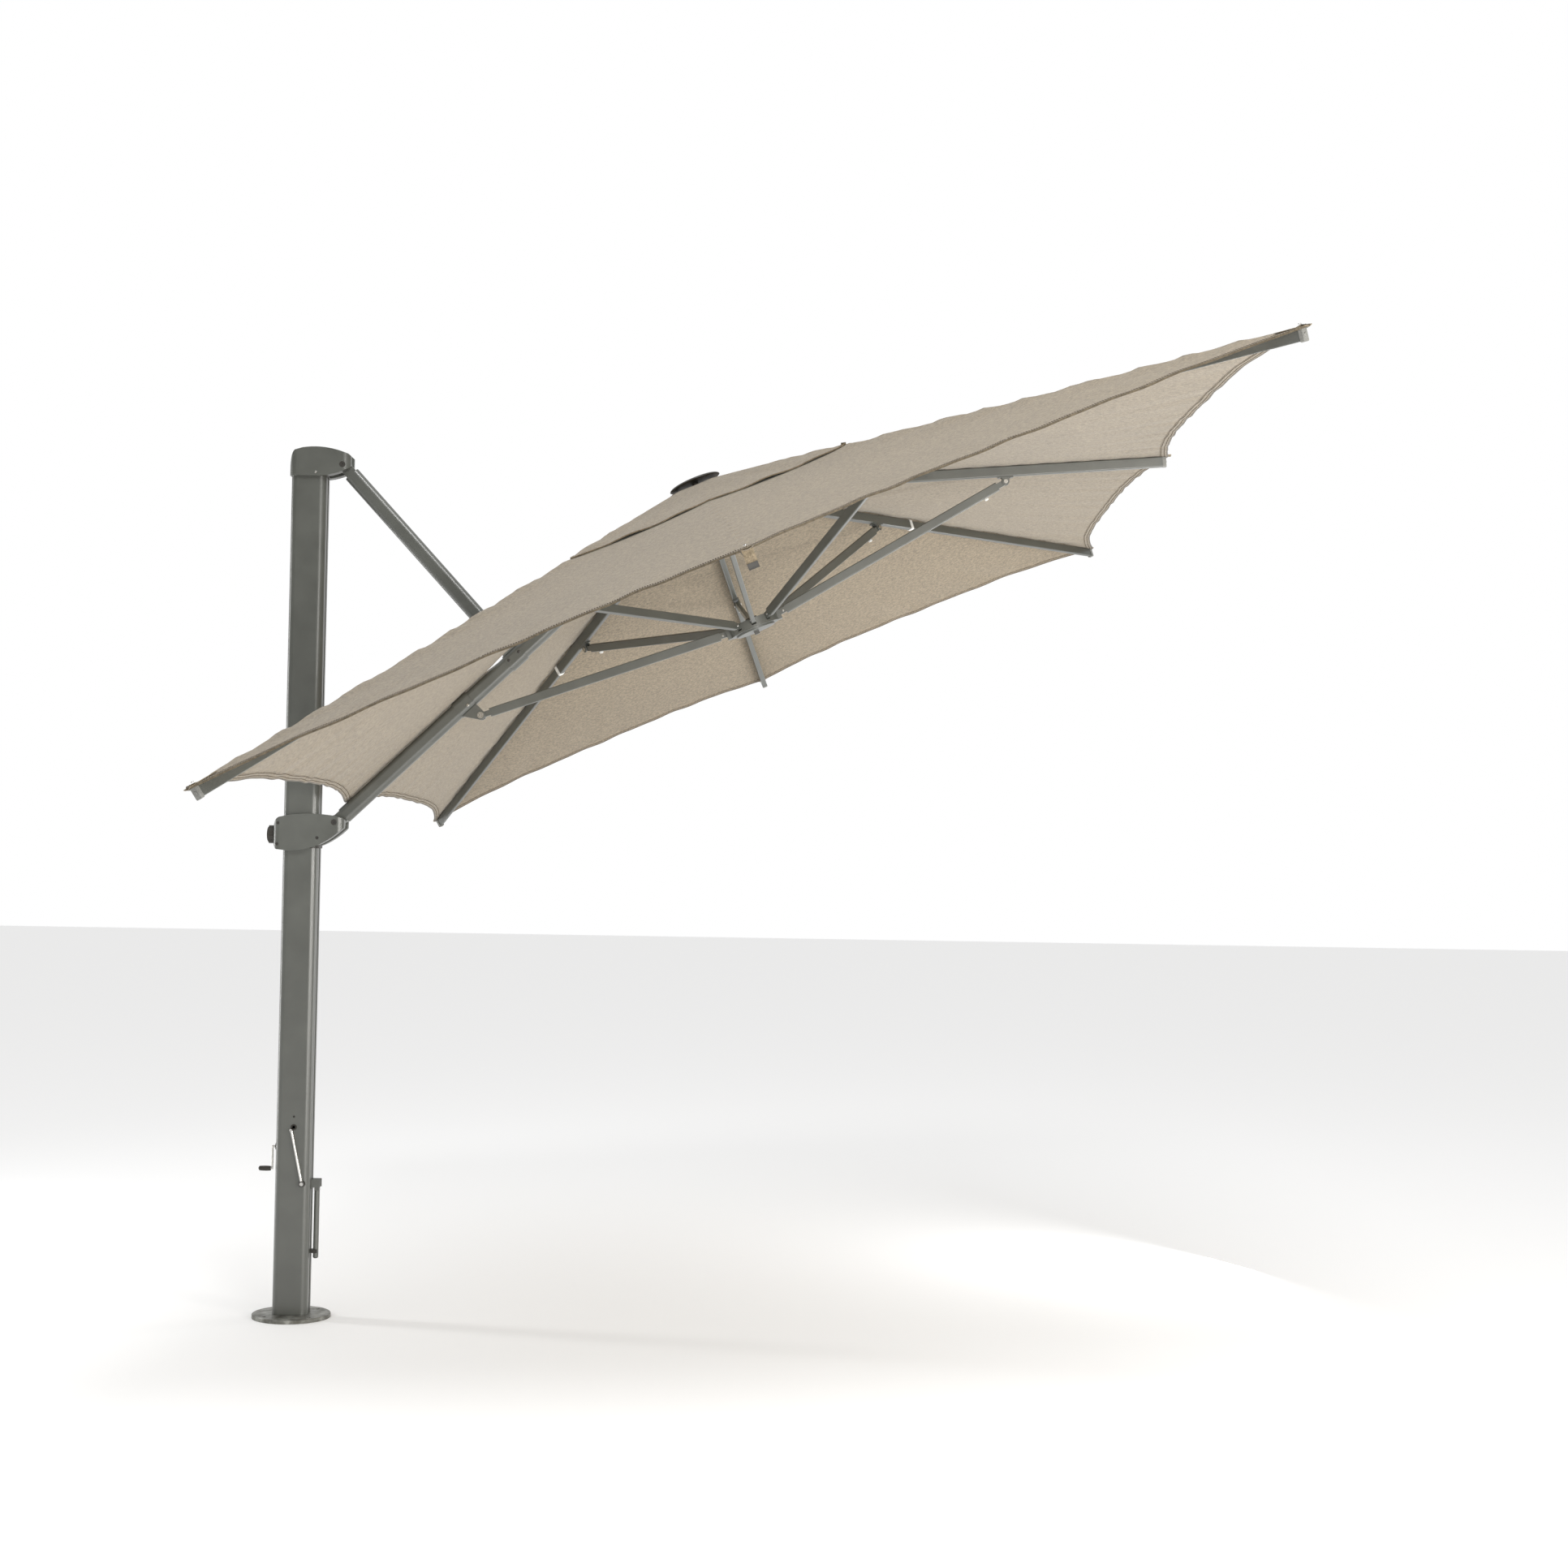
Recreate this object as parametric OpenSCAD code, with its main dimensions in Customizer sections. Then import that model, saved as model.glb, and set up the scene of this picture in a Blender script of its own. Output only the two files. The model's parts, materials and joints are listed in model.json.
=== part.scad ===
// Cantilever parasol: a mast on a round bolt-down plate, a carriage that slides on the mast,
// an arm that runs from the carriage to the top hub and is also the rib nearest the mast,
// a strut from the mast head that holds the arm, and seven more ribs with eight struts under them.
// Millimetres. The origin is the centre of the base plate's underside, +Z up, +X towards the canopy.

/* [Canopy] */
// Size of the canopy along the arm
canopy_l = 3000; // [2900:10:3100]
// Size of the canopy across the arm
canopy_w = 4000; // [3900:10:4100]
// Tilt of the canopy at rest, outer edge up, in degrees
tilt = 23.5; // [22:0.5:25]
// Drop of the corner rib tips below the apex
corner_drop = 552; // [540:1:560]
// Drop of the front rib tip below the apex
front_drop = 515; // [505:1:525]
// Drop of the side rib tips below the apex
side_drop = 533; // [525:1:540]
// Thickness of the canopy cloth
cloth_t = 3; // [2:0.5:4]
// Size of the vent flap as a share of the canopy
vent_share = 0.29; // [0.25:0.01:0.33]

/* [Mast] */
// Size of the mast tube along X
mast_w = 118; // [114:1:122]
// Size of the mast tube along Y
mast_d = 85; // [82:1:88]
// Wall of the mast tube
mast_wall = 3; // [2.5:0.5:4]
// Top end of the mast tube
mast_top = 2893; // [2885:1:2895]
// Distance of the strut's and the arm's lower pivots from the mast's centre line
pivot_x = 115; // [113:1:117]
// Height of the strut's pivot in the mast head
head_z = 2857; // [2850:1:2860]
// Height of the arm's pivot in the carriage
foot_z = 1653; // [1648:1:1658]

/* [Base] */
// Diameter of the base plate
base_d = 259; // [250:1:270]
// Thickness of the base plate
base_t = 13; // [12:1:15]
// Pitch circle of the base plate's bolt holes
bolt_pcd = 210; // [205:1:215]
// Diameter of the base plate's bolt holes
bolt_d = 13; // [11:1:14]

/* [Arm and mast strut] */
// Horizontal reach of the mast strut
strut_reach = 555; // [550:1:560]
// Depth of the arm tube
arm_h = 54; // [50:1:56]
// Width of the arm tube
arm_w = 42; // [40:1:42]
// Distance along the arm of the lug that carries the inner rib strut
lug_x = 600; // [598:1:602]
// Drop of that lug's pivot below the arm's centre line
lug_drop = 65; // [62:1:68]

/* [Hubs and ribs] */
// Radius of the hinge circle in both hubs
hub_r = 75; // [74:1:76]
// Radius of the two open hinge places on the lower hub, under the front rib and the arm
open_r = 88; // [86:1:90]
// Depth of the upper hinge circle below the apex
hub_dip = 22; // [20:1:24]
// Depth of a rib tube
rib_h = 36; // [34:1:36]
// Width of a rib tube
rib_w = 20; // [18:1:20]
// Depth of a rib strut
stay_h = 30; // [28:1:30]
// Width of a rib strut
stay_w = 16; // [14:1:16]
// Drop of the strut pivots below the ribs' centre lines
stay_drop = 35; // [34:1:36]
// Distance of the strut pivot along a corner rib, from its hinge
corner_pivot = 928; // [926:1:930]
// Distance of the strut pivot along the front rib
front_pivot = 962; // [960:1:964]
// Distance of the strut pivot along a side rib
side_pivot = 938; // [936:1:940]
// Distance of the collar along a corner rib
collar_x = 1145; // [1130:1:1160]

/* [Hidden] */
$fn = 48;

gap = 0.3;        // clearance between surfaces that move past each other
fit = 0.05;       // radial clearance of a hinge pin
frame_colour = "#5e625a";
dark = "#2b2c2a";
steel = "#c9c9c4";
zinc = "#8b8d86";
cloth = "#a99c85";

// The linkage. Head pivot, foot pivot and shoulder pivot form an equal-sided triangle, so the carriage
// keeps to the mast while the arm swings.
shoulder = [pivot_x + strut_reach, (head_z + foot_z) / 2];
strut_l = norm([strut_reach, (head_z - foot_z) / 2]);
strut_angle = atan2((head_z - foot_z) / 2, strut_reach);

// The hub frame: its origin is the apex of the rib lines, X outwards in the tilted canopy plane, Z its axis.
apex = [1311, 2793];
hub_x_dir = [cos(tilt), sin(tilt)];
hub_z_dir = [-sin(tilt), cos(tilt)];
arm_hinge = apex - hub_r * hub_x_dir - hub_dip * hub_z_dir;
arm_vec = arm_hinge - [pivot_x, foot_z];
arm_l = norm(arm_vec);
arm_angle = atan2(arm_vec[1], arm_vec[0]);
arm_slope = arm_angle - tilt;
shoulder_in_arm = [strut_reach * cos(arm_angle) + (head_z - foot_z) / 2 * sin(arm_angle),
    -strut_reach * sin(arm_angle) + (head_z - foot_z) / 2 * cos(arm_angle)];

// Rib azimuths in the hub frame, 0 outwards along the arm, 180 the arm itself
corner_az = atan2(canopy_w, canopy_l);
corner_reach = norm([canopy_l, canopy_w]) / 2;
function slope(reach, drop) = atan2(drop - hub_dip, reach - hub_r);
function rib_len(reach, drop) = norm([drop - hub_dip, reach - hub_r]);
corner_slope = slope(corner_reach, corner_drop);
front_slope = slope(canopy_l / 2, front_drop);
side_slope = slope(canopy_w / 2, side_drop);

// Strut pivots in the plane of a rib: [radius from the axis, depth below the apex]
function pivot_at(slope, along, drop) = [hub_r + along * cos(slope) - drop * sin(slope),
    hub_dip + along * sin(slope) + drop * cos(slope)];
corner_at = pivot_at(corner_slope, corner_pivot, stay_drop);
front_at = pivot_at(front_slope, front_pivot, stay_drop);
side_at = pivot_at(side_slope, side_pivot, stay_drop);
arm_at = pivot_at(arm_slope, arm_l - lug_x, lug_drop);
// The lower hinge circle mirrors the upper one about the corner pivots, so the lower hub stays on the axis.
low_dip = 2 * corner_at[1] - hub_dip;

// ---- shared shapes ----

// Rounded rectangle of w by h from plain squares and circles
module rounded(w, h, r) {
    square([w - 2 * r, h], center = true);
    square([w, h - 2 * r], center = true);
    for (x = [-1, 1], y = [-1, 1]) translate([x * (w / 2 - r), y * (h / 2 - r)]) circle(r);
}

// Hollow rounded tube along +X from x0 to x1, w wide in Y and h deep in Z
module tube_x(x0, x1, w, h, r, wall) {
    translate([x0, 0, 0]) rotate([90, 0, 90]) linear_extrude(x1 - x0) difference() {
        rounded(w, h, r);
        rounded(w - 2 * wall, h - 2 * wall, max(r - wall, 0.5));
    }
}

// Solid rounded bar along +X
module bar_x(x0, x1, w, h, r) {
    translate([x0, 0, 0]) rotate([90, 0, 90]) linear_extrude(x1 - x0) rounded(w, h, r);
}

// Cylinder along Y, centred on y
module rod_y(d, len, y = 0) {
    translate([0, y, 0]) rotate([90, 0, 0]) cylinder(d = d, h = len, center = true);
}

// Cylinder along +X from x0 to x1
module rod_x(d, x0, x1) {
    translate([x0, 0, 0]) rotate([0, 90, 0]) cylinder(d = d, h = x1 - x0);
}

// Flat outline in X and Z, extruded from y0 to y1
module side_plate(y0, y1, points) {
    translate([0, y1, 0]) rotate([90, 0, 0]) linear_extrude(y1 - y0) polygon(points);
}

// Points of a smooth bend from a to c that leans towards b
function bend(a, b, c, n = 8) = [for (i = [0 : n]) let (t = i / n)
    (1 - t) * (1 - t) * a + 2 * t * (1 - t) * b + t * t * c];

// Frames of the moving groups
module in_arm() translate([pivot_x, 0, foot_z]) rotate([0, -arm_angle, 0]) children();
module in_strut() translate([pivot_x, 0, head_z]) rotate([0, strut_angle, 0]) children();
module in_hub() translate([apex[0], 0, apex[1]]) rotate([0, -tilt, 0]) children();
module in_rib(az, slope) {
    in_hub() rotate([0, 0, az]) translate([hub_r, 0, -hub_dip]) rotate([0, slope, 0]) children();
}
// From a strut pivot towards the lower hub; local +X runs down the strut
module in_stay(az, at, inner_r) {
    in_hub() rotate([0, 0, az]) translate([at[0], 0, -at[1]])
        rotate([0, 180 - atan2(low_dip - at[1], at[0] - inner_r), 0]) children();
}
function stay_len(at, inner_r) = norm([at[0] - inner_r, low_dip - at[1]]);

// ---- base ----

module base_plate() {
    color(zinc) difference() {
        union() {
            cylinder(d = base_d, h = base_t - 2, $fn = 96);
            translate([0, 0, base_t - 2]) cylinder(d1 = base_d, d2 = base_d - 4, h = 2, $fn = 96);
        }
        for (a = [45 : 90 : 315]) rotate([0, 0, a]) translate([bolt_pcd / 2, 0, -1])
            cylinder(d = bolt_d, h = base_t + 2);
    }
}

module base_spigot() {
    color(zinc) translate([0, 0, base_t]) difference() {
        cylinder(d = spigot_d, h = spigot_h);
        translate([0, 0, -1]) cylinder(d = spigot_d - 10, h = spigot_h + 2);
    }
}

// ---- mast ----

spigot_d = 60;
spigot_h = 330;
mast_foot = base_t + 0.5;
mast_r = 22;
track_w = 14;
track_depth = 8;

module mast_outline() {
    difference() {
        rounded(mast_w, mast_d, mast_r);
        translate([mast_w / 2 - track_depth, -track_w / 2]) square([track_depth + 1, track_w]);
    }
}

module mast_hollow() {
    difference() {
        rounded(mast_w - 2 * mast_wall, mast_d - 2 * mast_wall, mast_r - mast_wall);
        translate([mast_w / 2 - track_depth - mast_wall, -track_w / 2 - mast_wall])
            square([track_depth + mast_wall + 1, track_w + 2 * mast_wall]);
    }
}

module mast_tube() {
    color(frame_colour) difference() {
        translate([0, 0, mast_foot]) linear_extrude(mast_top - mast_foot) difference() {
            mast_outline();
            mast_hollow();
        }
        // crank shaft hole and stowing hole in the near wall, crank hole in the rear wall
        translate([crank_x, -mast_d / 2, crank_z]) rod_y(shaft_d + 1, 12);
        translate([crank_x, mast_d / 2, crank_z]) rod_y(shaft_d + 1, 12);
        translate([stow_x, -mast_d / 2, stow_z]) rod_y(16, 12);
        translate([-mast_w / 2 - 3, 0, rear_z]) rod_x(rear_shaft_d + 4, 0, 8);
    }
}

// A plug that fills the mast's hollow and turns on the spigot
module spigot_bush(z0, h) {
    color(dark) translate([0, 0, z0]) difference() {
        linear_extrude(h) difference() {
            rounded(mast_w - 2 * mast_wall - 0.4, mast_d - 2 * mast_wall - 0.4, mast_r - mast_wall);
            translate([mast_w / 2 - track_depth - mast_wall - 0.2, -track_w / 2 - mast_wall - 0.2])
                square([track_depth + mast_wall + 1, track_w + 2 * mast_wall + 0.4]);
        }
        translate([0, 0, -1]) cylinder(d = spigot_d + 2 * fit, h = h + 2);
    }
}

module lower_bush() spigot_bush(mast_foot, 30);
module upper_bush() spigot_bush(base_t + spigot_h - 45, 30);

// Half of the mast head, from the middle plane out to the near side
cap_y = 53;
head_slot = 22;
function cap_points() = concat(
    bend([-63, 2818], [-64, 2905], [-40, 2906]),
    bend([-20, 2912], [40, 2922], [100, 2905]),
    [[134, 2894], [141, 2888], [141, 2852]],
    bend([136, 2846], [90, 2818], [30, 2817]));

module cap_half(side) {
    color(frame_colour) difference() {
        intersection() {
            side_plate(side < 0 ? -cap_y : 0, side < 0 ? 0 : cap_y, cap_points());
            translate([39, 0, 2800]) linear_extrude(140) rounded(206, 2 * cap_y, 26);
        }
        translate([0, 0, 2790]) linear_extrude(mast_top + 0.3 - 2790) rounded(mast_w + 0.6, mast_d + 0.6, mast_r);
        translate([mast_w / 2 + 3, -head_slot, 2790]) cube([120, 2 * head_slot, 112]);
        translate([pivot_x, 0, head_z]) rod_y(pin_d + 0.2, 200);
        translate([pivot_x, side * cap_y, head_z]) rod_y(20.4, 8.4);
    }
}

module head_cap_near() cap_half(-1);
module head_cap_far() cap_half(1);

// A shoulder bolt: shaft across the middle, a sunk head with a hex socket at the near end, a nut at the far end
module cross_bolt(d, half, head_d, head_h = 4) {
    difference() {
        union() {
            rod_y(d, 2 * half - 1);
            for (s = [-1, 1]) rod_y(head_d, head_h, s * (half - head_h / 2));
        }
        for (s = [-1, 1]) translate([0, s * half, 0]) rotate([90, 0, 0]) cylinder(d = head_d / 2, h = 5, center = true, $fn = 6);
    }
}

pin_d = 12;
module head_pin() color(dark) translate([pivot_x, 0, head_z]) cross_bolt(pin_d, cap_y, 20);

// ---- winch, cranks and lever at the foot of the mast ----

crank_x = 35;
crank_z = 448;
stow_x = 3;
stow_z = 635;
shaft_d = 12;
rear_z = 566;
rear_shaft_d = 8;

module winch_housing() {
    inner = mast_d / 2 - mast_wall;
    color(zinc) difference() {
        intersection() {
            for (s = [-1, 1]) translate([1, s > 0 ? inner - 5 : -inner, crank_z - 38]) cube([46, 5, 76]);
            translate([0, 0, crank_z - 40]) linear_extrude(80)
                rounded(mast_w - 2 * mast_wall - 0.4, mast_d - 2 * mast_wall - 0.4, mast_r - mast_wall);
        }
        translate([crank_x, 0, crank_z]) rod_y(shaft_d + 2 * fit, 100);
    }
}

module winch_shaft() {
    color(steel) translate([crank_x, 0, crank_z]) {
        rod_y(shaft_d, mast_d + 16, -6);
        for (y = [-22, 22]) rod_y(38, 3, y);
        rod_y(24, 44);
    }
}

// Bent steel handle: a ring on the shaft's end, a straight rod and a short peg
crank_reach = norm([stow_x - 6 - crank_x, stow_z - 8 - crank_z]);
module winch_crank() {
    lean = atan2(stow_x - 6 - crank_x, stow_z - 8 - crank_z);
    color(steel) translate([crank_x, -mast_d / 2 - 9.5, crank_z]) rotate([0, lean, 0]) {
        difference() {
            rod_y(20, 9);
            rod_y(shaft_d, 12);
        }
        translate([0, 0, 9.6]) cylinder(d = 9, h = crank_reach - 9.6);
        translate([0, 0, crank_reach]) rod_y(9, 16, -3.5);
    }
}

module mast_fittings() {
    face = -mast_d / 2;
    color(dark) {
        // bearing ring round the crank shaft, liner of the stowing hole, rivet, rear socket
        translate([crank_x, face - 1.5, crank_z]) difference() {
            rod_y(22, 3);
            rod_y(shaft_d + 0.6, 5);
        }
        translate([stow_x, face, stow_z]) difference() {
            union() {
                rod_y(20, 2, -1);
                rod_y(15.6, 10, 2);
            }
            rod_y(11, 20);
        }
        translate([stow_x, face, stow_z + 35]) rod_y(7, 2, -1);
        translate([-mast_w / 2, 0, rear_z]) difference() {
            union() {
                rod_x(24, -5, 0);
                rod_x(rear_shaft_d + 3.6, -1, 3);
            }
            rod_x(rear_shaft_d + 2 * fit, -6, 4);
        }
        // clip that holds the hanging lever
        translate([mast_w / 2, 0, lever_clip_z]) difference() {
            translate([0, -12, -6]) cube([24, 24, 12]);
            translate([lever_x - mast_w / 2, 0, -7]) cylinder(d = lever_d + 0.8, h = 14);
            translate([lever_x - mast_w / 2, -lever_d / 2 - 0.4, -7]) cube([20, lever_d + 0.8, 14]);
        }
    }
}

// Rear crank: shaft into the mast, a wire arm that runs out and down, and a grip that spins on it
rear_reach = 74;
module rear_crank() {
    color(steel) translate([-mast_w / 2, 0, rear_z]) {
        rod_x(rear_shaft_d, -16, 12);
        translate([-16, 0, -rear_reach]) cylinder(d = 6, h = rear_reach + 3);
        translate([0, 0, -rear_reach]) rod_x(6, -62, -13);
    }
}

module rear_crank_grip() {
    color(dark) translate([-mast_w / 2, 0, rear_z - rear_reach]) rotate([0, -90, 0]) rotate_extrude() polygon(concat(
        [[3 + fit, 21], [7.5, 21]], bend([8, 24], [9.5, 42], [7.5, 58]), [[6, 60], [3 + fit, 60]]));
}

lever_x = 77;
lever_z = 446;
lever_d = 18;
lever_l = 250;
lever_clip_z = 220;
module lever_bracket() {
    color(frame_colour) {
        for (s = [-1, 1]) difference() {
            translate([mast_w / 2, s * 12 - 2.5, lever_z - 13]) cube([30, 5, 27]);
            translate([lever_x, s * 12, lever_z]) rod_y(6 + 2 * fit, 8);
        }
        translate([mast_w / 2, -14.5, lever_z - 19]) cube([4, 29, 6]);
    }
    color(steel) translate([lever_x, 0, lever_z]) rod_y(6, 31);
}

module turning_lever() {
    color(frame_colour) translate([lever_x, 0, lever_z]) {
        difference() {
            union() {
                rod_y(18, 18);
                translate([-8, -9, -24]) cube([16, 18, 24]);
            }
            rod_y(6 + 2 * fit, 30);
        }
        translate([0, 0, -lever_l + 4]) cylinder(d = lever_d, h = lever_l - 26);
        translate([0, 0, -lever_l]) cylinder(d1 = lever_d - 6, d2 = lever_d, h = 4);
    }
}

// ---- mast strut ----

strut_h = 54;
strut_w = 40;
module mast_strut() {
    color(frame_colour) in_strut() tube_x(36, strut_l - 36, strut_w, strut_h, 17, 2.5);
}

// An end fitting with a round eye at the origin, a neck and a plug inside the tube that starts at x0
module eye_end(x0, w, eye_d, bore, plug_w, plug_h, plug_r, reach = 40) {
    difference() {
        union() {
            rod_y(eye_d, w);
            translate([0, -w / 2, -eye_d / 2 + 4]) cube([x0, w, eye_d - 8]);
            bar_x(x0, x0 + reach, plug_w, plug_h, plug_r);
        }
        rod_y(bore, w + 2);
    }
}

module mast_strut_ends() {
    color(frame_colour) in_strut() {
        eye_end(36, 40, 46, pin_d + 2 * fit, strut_w - 5.2, strut_h - 5.2, 15);
        translate([strut_l, 0, 0]) mirror([1, 0, 0])
            eye_end(36, 24, 36, pin_d + 2 * fit, strut_w - 5.2, strut_h - 5.2, 15);
    }
}

// ---- arm ----

module arm_tube() color(frame_colour) in_arm() tube_x(34, arm_l - 38, arm_w, arm_h, 17, 2.5);

module arm_foot() {
    color(frame_colour) in_arm() eye_end(34, arm_w, 50, pin_d + 2 * fit, arm_w - 5.2, arm_h - 5.2, 15);
}

module arm_tongue() {
    color(frame_colour) in_arm() translate([arm_l, 0, 0]) mirror([1, 0, 0])
        eye_end(38, slot_w - 2 * gap, 26, hub_pin_d + 2 * fit, arm_w - 5.2, arm_h - 5.2, 15);
}

// A sleeve round the arm, len long at x, with a pair of lug plates reaching to at = [x, z]
module sleeve(x, len, w, h) {
    difference() {
        bar_x(x - len / 2, x + len / 2, w, h, 20);
        bar_x(x - len, x + len, arm_w, arm_h, 17);
    }
}

module inner_bracket() {
    color(frame_colour) in_arm() difference() {
        union() {
            sleeve(lug_x - 18, 62, arm_w + 8, arm_h + 8);
            for (s = [-1, 1]) side_plate(s > 0 ? 9 : -21, s > 0 ? 21 : -9, concat(
                [[lug_x - 46, -arm_h / 2]],
                [for (a = [200 : 20 : 380]) [lug_x + 15 * cos(a), -lug_drop + 15 * sin(a)]],
                [[lug_x + 13, -arm_h / 2]]));
        }
        translate([lug_x, 0, -lug_drop]) rod_y(8 + 0.2, 60);
    }
}

// Bracket under the shoulder pivot; its two cheeks rise through the canopy's slit
module outer_bracket() {
    at = shoulder_in_arm;
    color(frame_colour) in_arm() difference() {
        union() {
            sleeve(at[0], 66, arm_w + 8, arm_h + 8);
            for (s = [-1, 1]) side_plate(s > 0 ? 13 : -21, s > 0 ? 21 : -13, concat(
                [[at[0] + 33, arm_h / 2]],
                [for (a = [0 : 20 : 180]) [at[0] + 20 * cos(a), at[1] + 20 * sin(a)]],
                [[at[0] - 28, arm_h / 2]]));
        }
        translate([at[0], 0, at[1]]) rod_y(pin_d + 0.2, 60);
    }
}

module arm_pins() {
    at = shoulder_in_arm;
    color(steel) in_arm() {
        translate([at[0], 0, at[1]]) {
            rod_y(pin_d, 42);
            for (s = [-1, 1]) rod_y(22, 4, s * 23);
        }
        translate([lug_x, 0, -lug_drop]) {
            rod_y(8, 42);
            for (s = [-1, 1]) rod_y(22, 3, s * 22.5);
        }
    }
}

// ---- carriage ----

car_y = 55;
car_slot = 22;
function car_points() = concat(
    bend([-205, -40], [-208, 14], [-176, 17]),
    bend([-150, 23], [-70, 33], [-2, 21]),
    [[26, 14], [34, 8], [32, -19]],
    bend([10, -38], [-60, -97], [-150, -97]),
    bend([-192, -93], [-202, -90], [-205, -60]));

module car_half(side) {
    color(frame_colour) difference() {
        translate([pivot_x, 0, foot_z]) intersection() {
            side_plate(side < 0 ? -car_y : 0, side < 0 ? 0 : car_y, car_points());
            translate([-85, 0, -120]) linear_extrude(160) rounded(240, 2 * car_y, 26);
        }
        translate([0, 0, foot_z - 130]) linear_extrude(190) rounded(mast_w + 8, mast_d + 8, mast_r + 4);
        translate([mast_w / 2 + 2, -car_slot, foot_z - 130]) cube([130, 2 * car_slot, 190]);
        translate([pivot_x, 0, foot_z]) rod_y(pin_d + 0.2, 200);
        translate([pivot_x, side * car_y, foot_z]) rod_y(20.4, 8.4);
        for (p = car_screw_places) translate([p[0], side * car_y, p[1]]) rod_y(11, 12);
        translate([-100, 0, knob_z]) rod_x(knob_shaft_d + 2 * fit, 0, 60);
    }
}

car_screw_places = [[-72, foot_z - 5], [-74, foot_z - 75], [60, foot_z - 53]];
module carriage_near() car_half(-1);
module carriage_far() car_half(1);
module carriage_pin() color(dark) translate([pivot_x, 0, foot_z]) cross_bolt(pin_d, car_y, 20);

// Plastic liner between the mast and the two halves
module carriage_pads() {
    color(dark) translate([0, 0, foot_z - 88]) difference() {
        linear_extrude(96) difference() {
            rounded(mast_w + 7.6, mast_d + 7.6, mast_r + 3.8);
            rounded(mast_w + 2 * gap, mast_d + 2 * gap, mast_r + gap);
        }
        translate([-80, 0, knob_z - foot_z + 88]) rod_x(knob_shaft_d + 1, 0, 30);
    }
}

module carriage_screws() {
    color(dark) for (p = car_screw_places, s = [-1, 1])
        translate([p[0], s * (car_y - 3.5), p[1]]) rotate([s * 90, 0, 0]) difference() {
            cylinder(d = 10, h = 4, center = true);
            translate([0, 0, -2.1]) cylinder(d = 5, h = 3, $fn = 6);
        }
}

knob_z = foot_z - 43;
knob_shaft_d = 10;
module lock_knob() {
    color(dark) translate([-90.5, 0, knob_z]) difference() {
        union() {
            rod_x(62, -20, -1);
            rod_x(50, -24, -20);
            rod_x(knob_shaft_d, -2, 26);
        }
        for (a = [0 : 45 : 315]) rotate([a, 0, 0]) translate([0, 35.5, 0]) rod_x(16, -30, 0);
    }
}

// ---- hubs ----

hub_pin_d = 8;
slot_w = 15;
open_slot_w = 17;
hub_rim = 88;
azimuths = [0, corner_az, 90, 180 - corner_az, 180, 180 + corner_az, 270, 360 - corner_az];

module top_hub() {
    color(frame_colour) in_hub() difference() {
        translate([0, 0, -hub_dip - 14]) cylinder(r = hub_rim, h = 30, $fn = 96);
        for (a = azimuths) rotate([0, 0, a]) {
            translate([hub_r - 16, -slot_w / 2, -hub_dip - 20]) cube([60, slot_w, 40]);
            translate([hub_r, 0, -hub_dip]) rod_y(hub_pin_d + 2 * fit, 30.4);
        }
    }
}

module hub_pins() {
    color(steel) in_hub() for (a = azimuths) rotate([0, 0, a])
        translate([hub_r, 0, -hub_dip]) rod_y(hub_pin_d, 30);
}

// Dark disc on top of the vent, with its stem down to the hub
vent_lift = 12;
module finial() {
    low = over_arm - hub_dip + vent_lift + cloth_t + 1;
    color(dark) in_hub() {
        translate([0, 0, -hub_dip + 16]) cylinder(d = 24, h = low + hub_dip - 15);
        translate([0, 0, low]) rotate_extrude($fn = 96) polygon(concat(
            [[0, 0], [86, 0]], bend([90, 2], [90, 6], [80, 9]), [[0, 15]]));
    }
}

// ---- cloth ----

// Tips of the cloth lines, one per rib and one over the arm: [azimuth, reach, drop, height over the rib line]
over_rib = rib_h / 2 + 5.5;
over_arm = arm_h / 2 + 6;
cloth_lines = [
    [0, canopy_l / 2, front_drop, over_rib], [corner_az, corner_reach, corner_drop, over_rib],
    [90, canopy_w / 2, side_drop, over_rib], [180 - corner_az, corner_reach, corner_drop, over_rib],
    [180, canopy_l / 2, hub_dip + (canopy_l / 2 - hub_r) * tan(arm_slope), over_arm],
    [180 + corner_az, corner_reach, corner_drop, over_rib],
    [270, canopy_w / 2, side_drop, over_rib], [360 - corner_az, corner_reach, corner_drop, over_rib]];

// Point on a cloth line at share u of the way out
function line_point(k, u) = let (line = cloth_lines[k % 8], r = 60 + u * (line[1] - 60))
    [r * cos(line[0]), r * sin(line[0]), line[3] - hub_dip - (line[2] - hub_dip) * max(0, (r - hub_r) / (line[1] - hub_r))];

// Point of a gore: between two lines the cloth is drawn in at the hem and sags a little
hem_pull = 0.047;
cloth_sag = 10;
function gore_point(k, v, u) = let (
        side = k % 2 == 1 ? v : 1 - v, inset = 1 - pow(abs(2 * side - 1), side < 0.5 ? 5 : 3),
        drawn = u * (1 - hem_pull * inset * pow(u, 3)),
        flat = (1 - v) * line_point(k, drawn) + v * line_point(k + 1, drawn))
    [flat[0], flat[1], flat[2] - cloth_sag * 4 * v * (1 - v) * sin(180 * min(1, u * 0.92))];

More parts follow.
